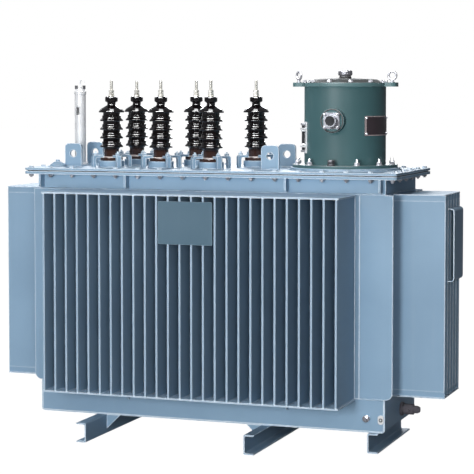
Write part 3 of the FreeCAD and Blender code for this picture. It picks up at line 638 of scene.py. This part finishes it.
def makeCoverBolts():
    coverLow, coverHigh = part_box("cover_plate")
    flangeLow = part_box("flange_sides")[0].z
    drop = coverHigh.z - flangeLow
    thick = coverBolt["washerThick"]
    below = -drop - thick - coverBolt["nut"]
    chamfer = coverBolt["head"] * coverBolt["chamfer"]
    head = joinPieces([
        washerRing(coverBolt["washer"], 0, thick),
        hexBlock(coverBolt["across"], thick, thick + coverBolt["head"] - chamfer, chamfer),
    ])
    nut = joinPieces([
        washerRing(coverBolt["washer"], -drop - thick, -drop),
        hexBlock(coverBolt["across"], below, -drop - thick, 0.0),
        studEnd(coverBolt["shank"], below - coverBolt["end"], below),
    ])
    middle = (coverLow + coverHigh) / 2
    steps = int((coverHigh.x - coverLow.x) / 2 / coverBolt["pitch"])
    alongX = [step * coverBolt["pitch"] for step in range(-steps + 1, steps)]
    farX = (coverHigh.x - coverLow.x) / 2 - coverBolt["inset"]
    farY = (coverHigh.y - coverLow.y) / 2 - coverBolt["inset"]
    points = [(x, side * farY) for side in (-1, 1) for x in [-farX, *alongX, farX]]
    points += [(side * farX, y) for side in (-1, 1) for y in coverBolt["endPlaces"]]
    places = [standAt(middle.x + x, middle.y + y, coverHigh.z, coverBolt["turn"] * number)
              for number, (x, y) in enumerate(points)]
    placeCopies(head, "cover_bolt_head", places, tankPaint)
    placeCopies(nut, "cover_bolt_nut", places, zincMetal)
    print("cover bolts:", len(places))


makeCoverBolts()

bushings = {f"{row}_{side}": middleOf(f"{row}_{side}_bushing")
            for row in ("front", "rear") for side in ("left", "middle", "right")}
clampNut = {"reach": 0.073, "top": 0.052, "across": 0.017, "nut": 0.008, "stud": 0.0048, "proud": 0.008,
            "washer": 0.0095, "washerThick": 0.0015, "chamfer": 0.0015}
footRing = {"radius": 0.0320, "tube": 0.0032, "height": 0.0425, "spread": 1.05, "flat": 0.6}


def makeClampNuts():
    # one nut on each clamp dog, painted with the tank
    nut = joinPieces([
        washerRing(clampNut["washer"], 0, clampNut["washerThick"]),
        hexBlock(clampNut["across"], clampNut["washerThick"], clampNut["nut"], clampNut["chamfer"]),
        studEnd(clampNut["stud"], clampNut["nut"], clampNut["nut"] + clampNut["proud"]),
    ])
    places = []
    for middle in bushings.values():
        for quarter in range(4):
            angle = math.radians(45 + 90 * quarter)
            places.append(standRound(middle, clampNut["reach"], angle, coverTop + clampNut["top"]))
    placeCopies(nut, "clamp_nut", places, tankPaint)
    print("clamp nuts:", len(places))


def makeFootRings():
    # the pale cork washer that shows under each collar
    ring = addRing(footRing["radius"], footRing["tube"], 48)
    pickFaces(ring, lambda middle, normal: middle.z < 0)
    squeeze((footRing["spread"], footRing["spread"], footRing["flat"]), (0, 0, 0))
    height = coverTop + footRing["height"]
    places = [standAt(middle.x, middle.y, height) for middle in bushings.values()]
    placeCopies(ring, "bushing_foot_ring", places, corkSheet, 60)


makeClampNuts()
makeFootRings()

drumStud = {"count": 12, "radius": 0.200, "phase": 0.0, "across": 0.020, "nut": 0.011, "chamfer": 0.0015,
            "washer": 0.0135, "washerThick": 0.0025, "stud": 0.0058, "proud": 0.013}
drumPlug = {"collar": 0.0165, "collarTop": 0.007, "across": 0.026, "top": 0.022, "chamfer": 0.002,
            "softened": 0.0008}
lidBolt = {"count": 12, "radius": 0.167, "phase": -6.0, "across": 0.017, "head": 0.008, "chamfer": 0.002,
           "washer": 0.0105, "washerThick": 0.002, "lidThick": 0.017}
spannerTurn = 0.4  # each nut is left a little further round than the last


def ringOfPlaces(middle, ring, height):
    places = []
    for number in range(ring["count"]):
        angle = math.radians(ring["phase"] - 90 + 360 * number / ring["count"])
        places.append(standRound(middle, ring["radius"], angle, height, number * spannerTurn))
    return places


def makeDrumStuds():
    drum = middleOf("changer_drum_flange")
    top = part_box("changer_drum_flange")[1].z
    thick = drumStud["washerThick"]
    nutTop = thick + drumStud["nut"]
    stud = joinPieces([
        washerRing(drumStud["washer"], 0, thick),
        hexBlock(drumStud["across"], thick, nutTop - drumStud["chamfer"], drumStud["chamfer"]),
        studEnd(drumStud["stud"], nutTop, nutTop + drumStud["proud"]),
    ])
    places = ringOfPlaces(drum, drumStud, top)
    plugPlace = places.pop(0)
    placeCopies(stud, "drum_stud", places, zincMetal)
    print("drum studs:", len(places))
    # the foremost hole holds a black screwed plug
    plug = joinPieces([
        addDisc(drumPlug["collar"], 0, drumPlug["collarTop"], 32),
        hexBlock(drumPlug["across"], drumPlug["collarTop"], drumPlug["top"], drumPlug["chamfer"]),
    ])
    softenEdges(plug, drumPlug["softened"])
    placeCopies(plug, "drum_drain_plug", [plugPlace], darkSteel)


def makeLidBolts():
    drum = middleOf("changer_drum")
    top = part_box("changer_drum")[1].z + lidBolt["lidThick"]
    bolt = joinPieces([
        washerRing(lidBolt["washer"], 0, lidBolt["washerThick"]),
        hexBlock(lidBolt["across"], lidBolt["washerThick"], lidBolt["head"], lidBolt["chamfer"]),
    ])
    places = ringOfPlaces(drum, lidBolt, top)
    placeCopies(bolt, "lid_bolt", places, zincMetal)
    print("lid bolts:", len(places))


makeDrumStuds()
makeLidBolts()


# weld beads

bead = {"width": 0.008, "narrow": 0.005, "step": 0.012, "ringStep": 0.009, "rough": 0.0016, "proud": 0.001,
        "endGap": 0.006, "endTaper": 0.4, "lugThick": 0.012}
seatBead = {"changer": 0.2295, "tube": 0.0345, "bushing": 0.0545}  # radius of each round seat


def roughen(piece, seed):
    pickAll(piece)
    bpy.ops.transform.vertex_random(offset=bead["rough"], uniform=0.0, normal=0.6, seed=seed)
    leaveEdit()


def straightBead(name, start, end, seed):
    start, end = Vector(start), Vector(end)
    run = end - start
    deselectAll()
    bpy.ops.mesh.primitive_cylinder_add(vertices=8, radius=bead["width"] / 2, depth=run.length)
    line = bpy.context.active_object
    pickEdges(line, lambda a, b: abs(a.z - b.z) > run.length * 0.9)
    bpy.ops.mesh.subdivide(number_cuts=max(4, int(run.length / bead["step"])))
    leaveEdit()
    roughen(line, seed)
    pickFaces(line, lambda middle, normal: abs(normal.z) > 0.9)
    squeeze((bead["endTaper"], bead["endTaper"], 1.0), (0, 0, 0))
    line.rotation_euler = run.to_track_quat("Z", "Y").to_euler()
    line.location = (start + end) / 2
    applyPlace(line)
    smoothByAngle(line, 70)
    finishPiece(line, name, tankPaint)


def roundBead(name, middle, radius, seed, width=bead["width"]):
    height = coverTop + bead["proud"]
    steps = max(40, int(2 * math.pi * radius / bead["ringStep"]))
    ring = addRing(radius, width / 2, steps, 8, (middle.x, middle.y, height))
    roughen(ring, seed)
    smoothByAngle(ring, 70)
    finishPiece(ring, name, tankPaint)


def makeBeads():
    bandLow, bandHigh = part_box("band_sides")
    wallLow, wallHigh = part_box("front_fin_wall")
    bandFoot = bandLow.z + bead["proud"]
    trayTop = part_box("side_corner_strips")[0].z
    seed = 1
    for row, face in (("front", bandLow.y - bead["proud"]), ("rear", bandHigh.y + bead["proud"])):
        straightBead(f"{row}_band_bead", (bandLow.x, face, bandFoot), (bandHigh.x, face, bandFoot), seed)
        for side, wallEnd, trayEnd in (("left", wallLow.x, bandLow.x), ("right", wallHigh.x, bandHigh.x)):
            seed += 1
            straightBead(f"{row}_{side}_tray_bead", (wallEnd, face, trayTop), (trayEnd, face, trayTop), seed)
        seed += 1
    near, far = bandLow.y + bead["endGap"], bandHigh.y - bead["endGap"]
    for side, face in (("left", bandLow.x - bead["proud"]), ("right", bandHigh.x + bead["proud"])):
        seed += 1
        straightBead(f"{side}_band_bead", (face, near, bandFoot), (face, far, bandFoot), seed)
        straightBead(f"{side}_tray_bead", (face, near, trayTop), (face, far, trayTop), seed + 20)
    for side in ("left", "right"):
        lugLow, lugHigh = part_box(f"{side}_lifting_lugs")
        foot = lugLow.z + bead["proud"]
        for row, start in (("front", lugLow.y), ("rear", lugHigh.y - bead["lugThick"])):
            for face, y in (("outer", start - bead["proud"]),
                            ("inner", start + bead["lugThick"] + bead["proud"])):
                seed += 1
                straightBead(f"{row}_{side}_lug_{face}_bead", (lugLow.x, y, foot), (lugHigh.x, y, foot), seed)
    roundBead("changer_seat_bead", middleOf("changer_seat"), seatBead["changer"], 61)
    roundBead("level_tube_bead", middleOf("level_tube"), seatBead["tube"], 62, bead["narrow"])
    for seed, (name, middle) in enumerate(bushings.items(), 63):
        roundBead(f"{name}_seat_bead", middle, seatBead["bushing"], seed, bead["narrow"])
    print("weld beads laid")


makeBeads()


# tap changer details

sightGlass = {"screw": 0.0044, "screwHead": 0.0035, "corner": 0.0265, "plate": 0.009,
              "seal": 0.0217, "sealTube": 0.0022, "sealAt": 0.0055,
              "bossSeal": 0.0462, "bossTube": 0.0028, "bossAt": 0.0008, "flat": 0.7}
panShape = {"side": 0.6, "top": 0.62, "rim": 0.25, "socket": 0.35}  # shares of height and radius


def panHead(radius, height):
    # a low screw head, drawn in at the top, with a round socket
    side = height * panShape["side"]
    head = addDisc(radius, 0, side, 16)
    pickFaces(head, lambda middle, normal: normal.z > 0.9)
    pullUp(height - side)
    bpy.ops.transform.resize(value=(panShape["top"], panShape["top"], 1.0), center_override=(0, 0, height))
    bpy.ops.mesh.inset(thickness=radius * panShape["rim"], depth=0)
    pullUp(-height * panShape["socket"])
    leaveEdit()
    return head


def makeSightGlassParts():
    low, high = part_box("changer_sight_bezel")
    middle = (low + high) / 2
    corner = sightGlass["corner"]
    places = [frontFacing(middle.x + sx * corner, low.y + sightGlass["plate"], middle.z + sz * corner)
              for sx in (-1, 1) for sz in (-1, 1)]
    screw = panHead(sightGlass["screw"], sightGlass["screwHead"])
    placeCopies(screw, "sight_screw", places, zincMetal, 40)
    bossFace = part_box("changer_sight_boss")[0].y
    for name, radius, tube, y in (
            ("sight_glass_seal", sightGlass["seal"], sightGlass["sealTube"], low.y + sightGlass["sealAt"]),
            ("sight_boss_seal", sightGlass["bossSeal"], sightGlass["bossTube"],
             bossFace + sightGlass["bossAt"])):
        seal = addRing(radius, tube, 56, 10, (middle.x, y, middle.z), (math.radians(90), 0, 0))
        pickFaces(seal, lambda centre, normal, y=y: centre.y < y)
        squeeze((1.0, sightGlass["flat"], 1.0), (middle.x, y, middle.z))
        smoothByAngle(seal, 60)
        finishPiece(seal, name, blackRubber)


changerPlate = {"from": 44.0, "to": 97.0, "radius": 0.168, "out": 0.003, "bottom": 0.143, "top": 0.223,
                "rim": 0.004, "nearRim": 1.9, "rimSunk": 0.0006, "rimProud": 0.0012, "bendStep": 3.0,
                "stud": 0.0048, "studHead": 0.005, "studIn": 2.6, "studUp": 0.008}


def bentBar(middle, inner, outer, low, high, start, stop):
    # a flat strip spun round the drum between two angles, counted from the front
    deselectAll()
    bpy.ops.mesh.primitive_plane_add(size=1)
    bar = bpy.context.active_object
    bar.scale = (outer - inner, high - low, 1)
    bar.rotation_euler = (math.radians(90), 0, 0)
    bar.location = ((inner + outer) / 2, 0, (low + high) / 2)
    applyPlace(bar)
    pickAll(bar)
    steps = max(2, int((stop - start) / changerPlate["bendStep"]))
    bpy.ops.mesh.spin(steps=steps, angle=-math.radians(stop - start), center=(0, 0, 0), axis=(0, 0, 1))
    bpy.ops.mesh.select_all(action="SELECT")
    bpy.ops.mesh.remove_doubles(threshold=0.00001)
    bpy.ops.mesh.normals_make_consistent(inside=False)
    leaveEdit()
    bar.rotation_euler = (0, 0, math.radians(start - 90))
    bar.location = (middle.x, middle.y, 0)
    applyPlace(bar)
    return bar


def makeChangerPlateParts():
    # a bright rim that follows the bent plate, and studs through its corners
    drum = middleOf("changer_drum")
    outer = changerPlate["radius"] + changerPlate["out"]
    start, stop = changerPlate["from"], changerPlate["to"]
    bottom, top = coverTop + changerPlate["bottom"], coverTop + changerPlate["top"]
    rim, side = changerPlate["rim"], math.degrees(changerPlate["rim"] / outer)
    sunk, proud = outer - changerPlate["rimSunk"], outer + changerPlate["rimProud"]
    frameBars = joinPieces([
        bentBar(drum, sunk, proud, bottom, bottom + rim, start, stop),
        bentBar(drum, sunk, proud, top - rim, top, start, stop),
        bentBar(drum, sunk, proud, bottom, top, start, start + side * changerPlate["nearRim"]),
        bentBar(drum, sunk, proud, bottom, top, stop - side, stop),
    ])
    smoothByAngle(frameBars, 30)
    finishPiece(frameBars, "changer_plate_rim", plateRimMetal)
    places = []
    for angle in (start + changerPlate["studIn"], stop - changerPlate["studIn"]):
        turn = math.radians(angle - 90)
        x, y = drum.x + outer * math.cos(turn), drum.y + outer * math.sin(turn)
        for height in (bottom + changerPlate["studUp"], top - changerPlate["studUp"]):
            places.append(Matrix.Translation((x, y, height)) @ Matrix.Rotation(turn, 4, "Z")
                          @ Matrix.Rotation(math.radians(90), 4, "Y"))
    stud = panHead(changerPlate["stud"], changerPlate["studHead"])
    placeCopies(stud, "changer_plate_stud", places, zincMetal, 40)


makeSightGlassParts()
makeChangerPlateParts()

gaugeNut = {"across": 0.019, "height": 0.009, "chamfer": 0.0015, "overlap": 0.001}
gaugeStrap = {"heights": (0.26, 0.74), "clear": 0.0005, "tube": 0.0022, "tall": 1.35}


def makeGaugeParts():
    low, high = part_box("changer_gauge_glass")
    middle = (low + high) / 2
    nut = hexBlock(gaugeNut["across"], 0, gaugeNut["height"] - gaugeNut["chamfer"], gaugeNut["chamfer"])
    places = [standAt(middle.x, middle.y, high.z - gaugeNut["height"] + gaugeNut["overlap"]),
              standAt(middle.x, middle.y, low.z - gaugeNut["overlap"])]
    placeCopies(nut, "gauge_nut", places, zincMetal)
    strap = addRing((high.x - low.x) / 2 + gaugeStrap["clear"], gaugeStrap["tube"], 32)
    pickAll(strap)
    squeeze((1.0, 1.0, gaugeStrap["tall"]), (0, 0, 0))
    tall = high.z - low.z
    places = [standAt(middle.x, middle.y, low.z + share * tall) for share in gaugeStrap["heights"]]
    placeCopies(strap, "gauge_strap", places, tubeMetal, 60)


capRim = {"below": 0.0125, "inset": 0.0008, "tube": 0.0026, "flat": 0.8}
capSeal = {"up": 0.0035, "radius": 0.0225, "tube": 0.0034, "pinch": 0.97}


def makeCapRings():
    # the rolled rim of the breather cap, and the seal round its neck
    low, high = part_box("changer_cap")
    middle = (low + high) / 2
    rimPlace = (middle.x, middle.y, high.z - capRim["below"])
    rim = addRing((high.x - low.x) / 2 - capRim["inset"], capRim["tube"], 64, 10, rimPlace)
    pickAll(rim)
    squeeze((1.0, 1.0, capRim["flat"]), rimPlace)
    smoothByAngle(rim, 60)
    finishPiece(rim, "cap_rim", bezelMetal)
    sealPlace = (middle.x, middle.y, low.z + capSeal["up"])
    seal = addRing(capSeal["radius"], capSeal["tube"], 56, 10, sealPlace)
    pickFaces(seal, lambda centre, normal: centre.z > sealPlace[2])
    squeeze((capSeal["pinch"], capSeal["pinch"], 1.0), (middle.x, middle.y, low.z))
    smoothByAngle(seal, 60)
    finishPiece(seal, "cap_neck_seal", blackRubber)


makeGaugeParts()
makeCapRings()
print("tap changer dressed")


# plates, level tube, earthing and valve

levelTube = {"foot": 0.010, "bolt": 0.0115, "boltHead": 0.005, "boltChamfer": 0.0015, "boltReach": 0.028,
             "boltAngles": (0.4, 1.97, 3.54, 5.11), "rod": 0.0034, "rodBelowTop": 0.002, "float": 0.0105,
             "floatTop": 0.12, "floatSoft": 0.003, "forward": 0.006}
capScrew = {"radius": 0.0065, "height": 0.016, "wall": 0.0018, "socket": 0.004, "softened": 0.0008,
            "reach": 0.0185, "up": 0.0235}


def makeTubeParts():
    low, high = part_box("level_tube")
    middle = (low + high) / 2
    bolt = hexBlock(levelTube["bolt"], 0, levelTube["boltHead"], levelTube["boltChamfer"])
    places = [standRound(middle, levelTube["boltReach"], angle, low.z + levelTube["foot"])
              for angle in levelTube["boltAngles"]]
    placeCopies(bolt, "level_tube_bolt", places, zincMetal)
    # the float and its rod, seen through the tube's window
    rod = addDisc(levelTube["rod"], levelTube["foot"], high.z - low.z - levelTube["rodBelowTop"], 20)
    bob = addDisc(levelTube["float"], levelTube["foot"], levelTube["floatTop"], 28)
    softenEdges(bob, levelTube["floatSoft"], 3)
    gauge = joinPieces([rod, bob])
    floatPlace = standAt(middle.x, middle.y - levelTube["forward"], low.z)
    placeCopies(gauge, "level_float", [floatPlace], tubeMetal, 50)
    # socket screws through the two ears of the cap
    screw = addDisc(capScrew["radius"], 0, capScrew["height"], 20)
    pickFaces(screw, lambda centre, normal: normal.z > 0.9)
    bpy.ops.mesh.inset(thickness=capScrew["wall"], depth=0)
    pullUp(-capScrew["socket"])
    leaveEdit()
    softenEdges(screw, capScrew["softened"])
    places = [standAt(middle.x + side * capScrew["reach"], middle.y, high.z + capScrew["up"])
              for side in (-1, 1)]
    placeCopies(screw, "level_cap_screw", places, darkSteel)


earthNut = {"across": 0.021, "top": 0.0095, "chamfer": 0.0015, "washer": 0.0145, "washerThick": 0.002,
            "back": 0.0122}
earthPad = {"ring": 0.0078, "ringThick": 0.0012, "softened": 0.0004, "screw": 0.0038, "screwHead": 0.003,
            "sunk": 0.0002, "below": 0.001}


def makeEarthParts():
    low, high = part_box("earth_stud")
    middle = (low + high) / 2
    nut = joinPieces([
        washerRing(earthNut["washer"], 0, earthNut["washerThick"]),
        hexBlock(earthNut["across"], earthNut["washerThick"], earthNut["top"], earthNut["chamfer"]),
    ])
    nutPlace = frontFacing(middle.x, high.y - earthNut["back"], middle.z)
    placeCopies(nut, "earth_nut", [nutPlace], zincMetal)
    padMiddle = middleOf("earth_pad")
    padPlace = frontFacing(padMiddle.x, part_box("earth_pad")[0].y + earthPad["sunk"],
                           padMiddle.z - earthPad["below"])
    ring = addDisc(earthPad["ring"], 0, earthPad["ringThick"], 32)
    softenEdges(ring, earthPad["softened"])
    placeCopies(ring, "earth_pad_ring", [padPlace], blackRubber)
    screw = panHead(earthPad["screw"], earthPad["screwHead"])
    placeCopies(screw, "earth_pad_screw", [padPlace], tubeMetal, 40)


valveBolt = {"across": 0.006, "height": 0.0035, "chamfer": 0.001, "ring": 0.0245, "face": 0.010,
             "axis": 0.028, "angles": (0.785, 2.356, 3.927, 5.498)}


def makeValveBolts():
    low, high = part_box("drain_valve")
    bolt = hexBlock(valveBolt["across"], 0, valveBolt["height"], valveBolt["chamfer"])
    x, y, z = low.x + valveBolt["face"], high.y - valveBolt["axis"], (low.z + high.z) / 2
    places = [Matrix.Translation((x, y + valveBolt["ring"] * math.cos(angle),
                                  z + valveBolt["ring"] * math.sin(angle)))
              @ Matrix.Rotation(math.radians(90), 4, "Y") for angle in valveBolt["angles"]]
    placeCopies(bolt, "valve_bolt", places, darkSteel)


makeTubeParts()
makeEarthParts()
makeValveBolts()
print("small fittings done")


# studio

studio = {
    "floorRadius": 60.0, "floorDrop": 0.0005, "floorColour": (0.28, 0.28, 0.29), "floorShade": 0.10,
    "floorWhite": 1.12,
    # what lights the shade, what gloss reflects, and what is seen behind
    "air": (((0.98, 0.94, 1.0), 0.045), ((0.92, 0.95, 1.0), 0.22), ((1, 1, 1), 1.0)),
}


def makeWorld():
    world = bpy.data.worlds.new("studioAir")
    bpy.context.scene.world = world
    world.use_nodes = True
    tree = world.node_tree
    tree.nodes.clear()
    link = tree.links.new
    output = addNode(tree, "ShaderNodeOutputWorld", (600, 0))
    rays = addNode(tree, "ShaderNodeLightPath", (-400, 300))
    soft, shine, white = (
        addNode(tree, "ShaderNodeBackground", (-200, -150 * row), {"Color": (*colour, 1), "Strength": power})
        for row, (colour, power) in enumerate(studio["air"]))
    withShine = addNode(tree, "ShaderNodeMixShader", (100, 0))
    whole = addNode(tree, "ShaderNodeMixShader", (350, 0))
    link(rays.outputs["Is Glossy Ray"], withShine.inputs["Fac"])
    link(soft.outputs[0], withShine.inputs[1])
    link(shine.outputs[0], withShine.inputs[2])
    link(rays.outputs["Is Camera Ray"], whole.inputs["Fac"])
    link(withShine.outputs[0], whole.inputs[1])
    link(white.outputs[0], whole.inputs[2])
    link(whole.outputs[0], output.inputs["Surface"])


def makeFloor():
    deselectAll()
    bpy.ops.mesh.primitive_circle_add(vertices=64, radius=studio["floorRadius"], fill_type="NGON",
                                      location=(0, 0, -studio["floorDrop"]))
    floor = bpy.context.active_object
    floor.name = "studio_floor"
    applyPlace(floor)
    material = bpy.data.materials.new("paleFloor")
    material.use_nodes = True
    tree = material.node_tree
    tree.nodes.clear()
    link = tree.links.new
    output = addNode(tree, "ShaderNodeOutputMaterial", (600, 0))
    rays = addNode(tree, "ShaderNodeLightPath", (-400, 300))
    matt = addNode(tree, "ShaderNodeBsdfDiffuse", (-200, 0), {"Color": (*studio["floorColour"], 1)})
    white = addNode(tree, "ShaderNodeEmission", (-200, -200),
                    {"Color": (1, 1, 1, 1), "Strength": studio["floorWhite"]})
    share = mathNode(tree, "MULTIPLY", (-100, 250), rays.outputs["Is Camera Ray"], 1.0 - studio["floorShade"])
    mix = addNode(tree, "ShaderNodeMixShader", (300, 0))
    link(share, mix.inputs["Fac"])
    link(matt.outputs[0], mix.inputs[1])
    link(white.outputs[0], mix.inputs[2])
    link(mix.outputs[0], output.inputs["Surface"])
    floor.data.materials.append(material)


def addSoftbox(name, box):
    # azimuth is counted from straight in front towards the right-hand end
    azimuth, elevation = math.radians(box["azimuth"]), math.radians(box["elevation"])
    aim = Vector(box["aim"])
    back = Vector((math.sin(azimuth) * math.cos(elevation), -math.cos(azimuth) * math.cos(elevation),
                   math.sin(elevation)))
    data = bpy.data.lights.new(name, "AREA")
    data.shape = "RECTANGLE"
    data.size, data.size_y = box["size"]
    data.energy = box["power"]
    data.color = box["colour"]
    light = bpy.data.objects.new(name, data)
    light.location = aim + back * box["distance"]
    light.rotation_euler = back.to_track_quat("Z", "Y").to_euler()
    light.visible_glossy = box.get("hides") != "glossy"
    light.visible_diffuse = box.get("hides") != "diffuse"
    bpy.context.scene.collection.objects.link(light)


softboxes = {
    "keyLight": {"azimuth": 0, "elevation": 4, "distance": 7.5, "size": (1.4, 2.0), "power": 425,
                 "colour": (1.0, 0.99, 0.98), "aim": (0.35, 0, 0.75), "hides": "glossy"},
    "rightFill": {"azimuth": 24, "elevation": 8, "distance": 6.0, "size": (1.2, 2.0), "power": 75,
                  "colour": (0.96, 0.98, 1.0), "aim": (0.2, 0, 0.8), "hides": "glossy"},
    "topLight": {"azimuth": 0, "elevation": 76, "distance": 5.0, "size": (1.8, 2.0), "power": 125,
                 "colour": (0.97, 0.98, 1.0), "aim": (0, 0, 0.9)},
    "rearFill": {"azimuth": -160, "elevation": 25, "distance": 7.0, "size": (3.0, 2.5), "power": 420,
                 "colour": (0.95, 0.97, 1.0), "aim": (0, 0, 0.8)},
    "leftFill": {"azimuth": -105, "elevation": 18, "distance": 6.5, "size": (2.5, 2.0), "power": 300,
                 "colour": (0.95, 0.97, 1.0), "aim": (0, 0, 0.8), "hides": "glossy"},
    "sheenBox": {"azimuth": -16, "elevation": 20, "distance": 5.0, "size": (0.9, 1.0), "power": 290,
                 "colour": (0.92, 0.97, 1.0), "aim": (0.5, 0, 1.3), "hides": "diffuse"},
    "glossStrip": {"azimuth": 6, "elevation": 52, "distance": 3.2, "size": (4.0, 0.45), "power": 600,
                   "colour": (1.0, 1.0, 1.0), "aim": (0, 0, 1.3), "hides": "diffuse"},
}

makeWorld()
makeFloor()
for boxName, boxValues in softboxes.items():
    addSoftbox(boxName, boxValues)

viewpoint = {"place": (2.4865, -6.7978, 1.4411), "turn": 19.87, "down": 3.0, "lens": 129.98,
             "sensor": 36.0, "shift": -0.1172, "nearest": 0.1, "farthest": 200.0}


def makeCamera():
    data = bpy.data.cameras.new("viewCamera")
    data.lens = viewpoint["lens"]
    data.sensor_width = viewpoint["sensor"]
    data.shift_y = viewpoint["shift"]
    data.clip_start = viewpoint["nearest"]
    data.clip_end = viewpoint["farthest"]
    camera = bpy.data.objects.new("viewCamera", data)
    camera.location = viewpoint["place"]
    camera.rotation_euler = (math.radians(90 - viewpoint["down"]), 0, math.radians(viewpoint["turn"]))
    bpy.context.scene.collection.objects.link(camera)
    bpy.context.scene.camera = camera


makeCamera()
bpy.context.scene.view_settings.view_transform = "Standard"
print("studio set")
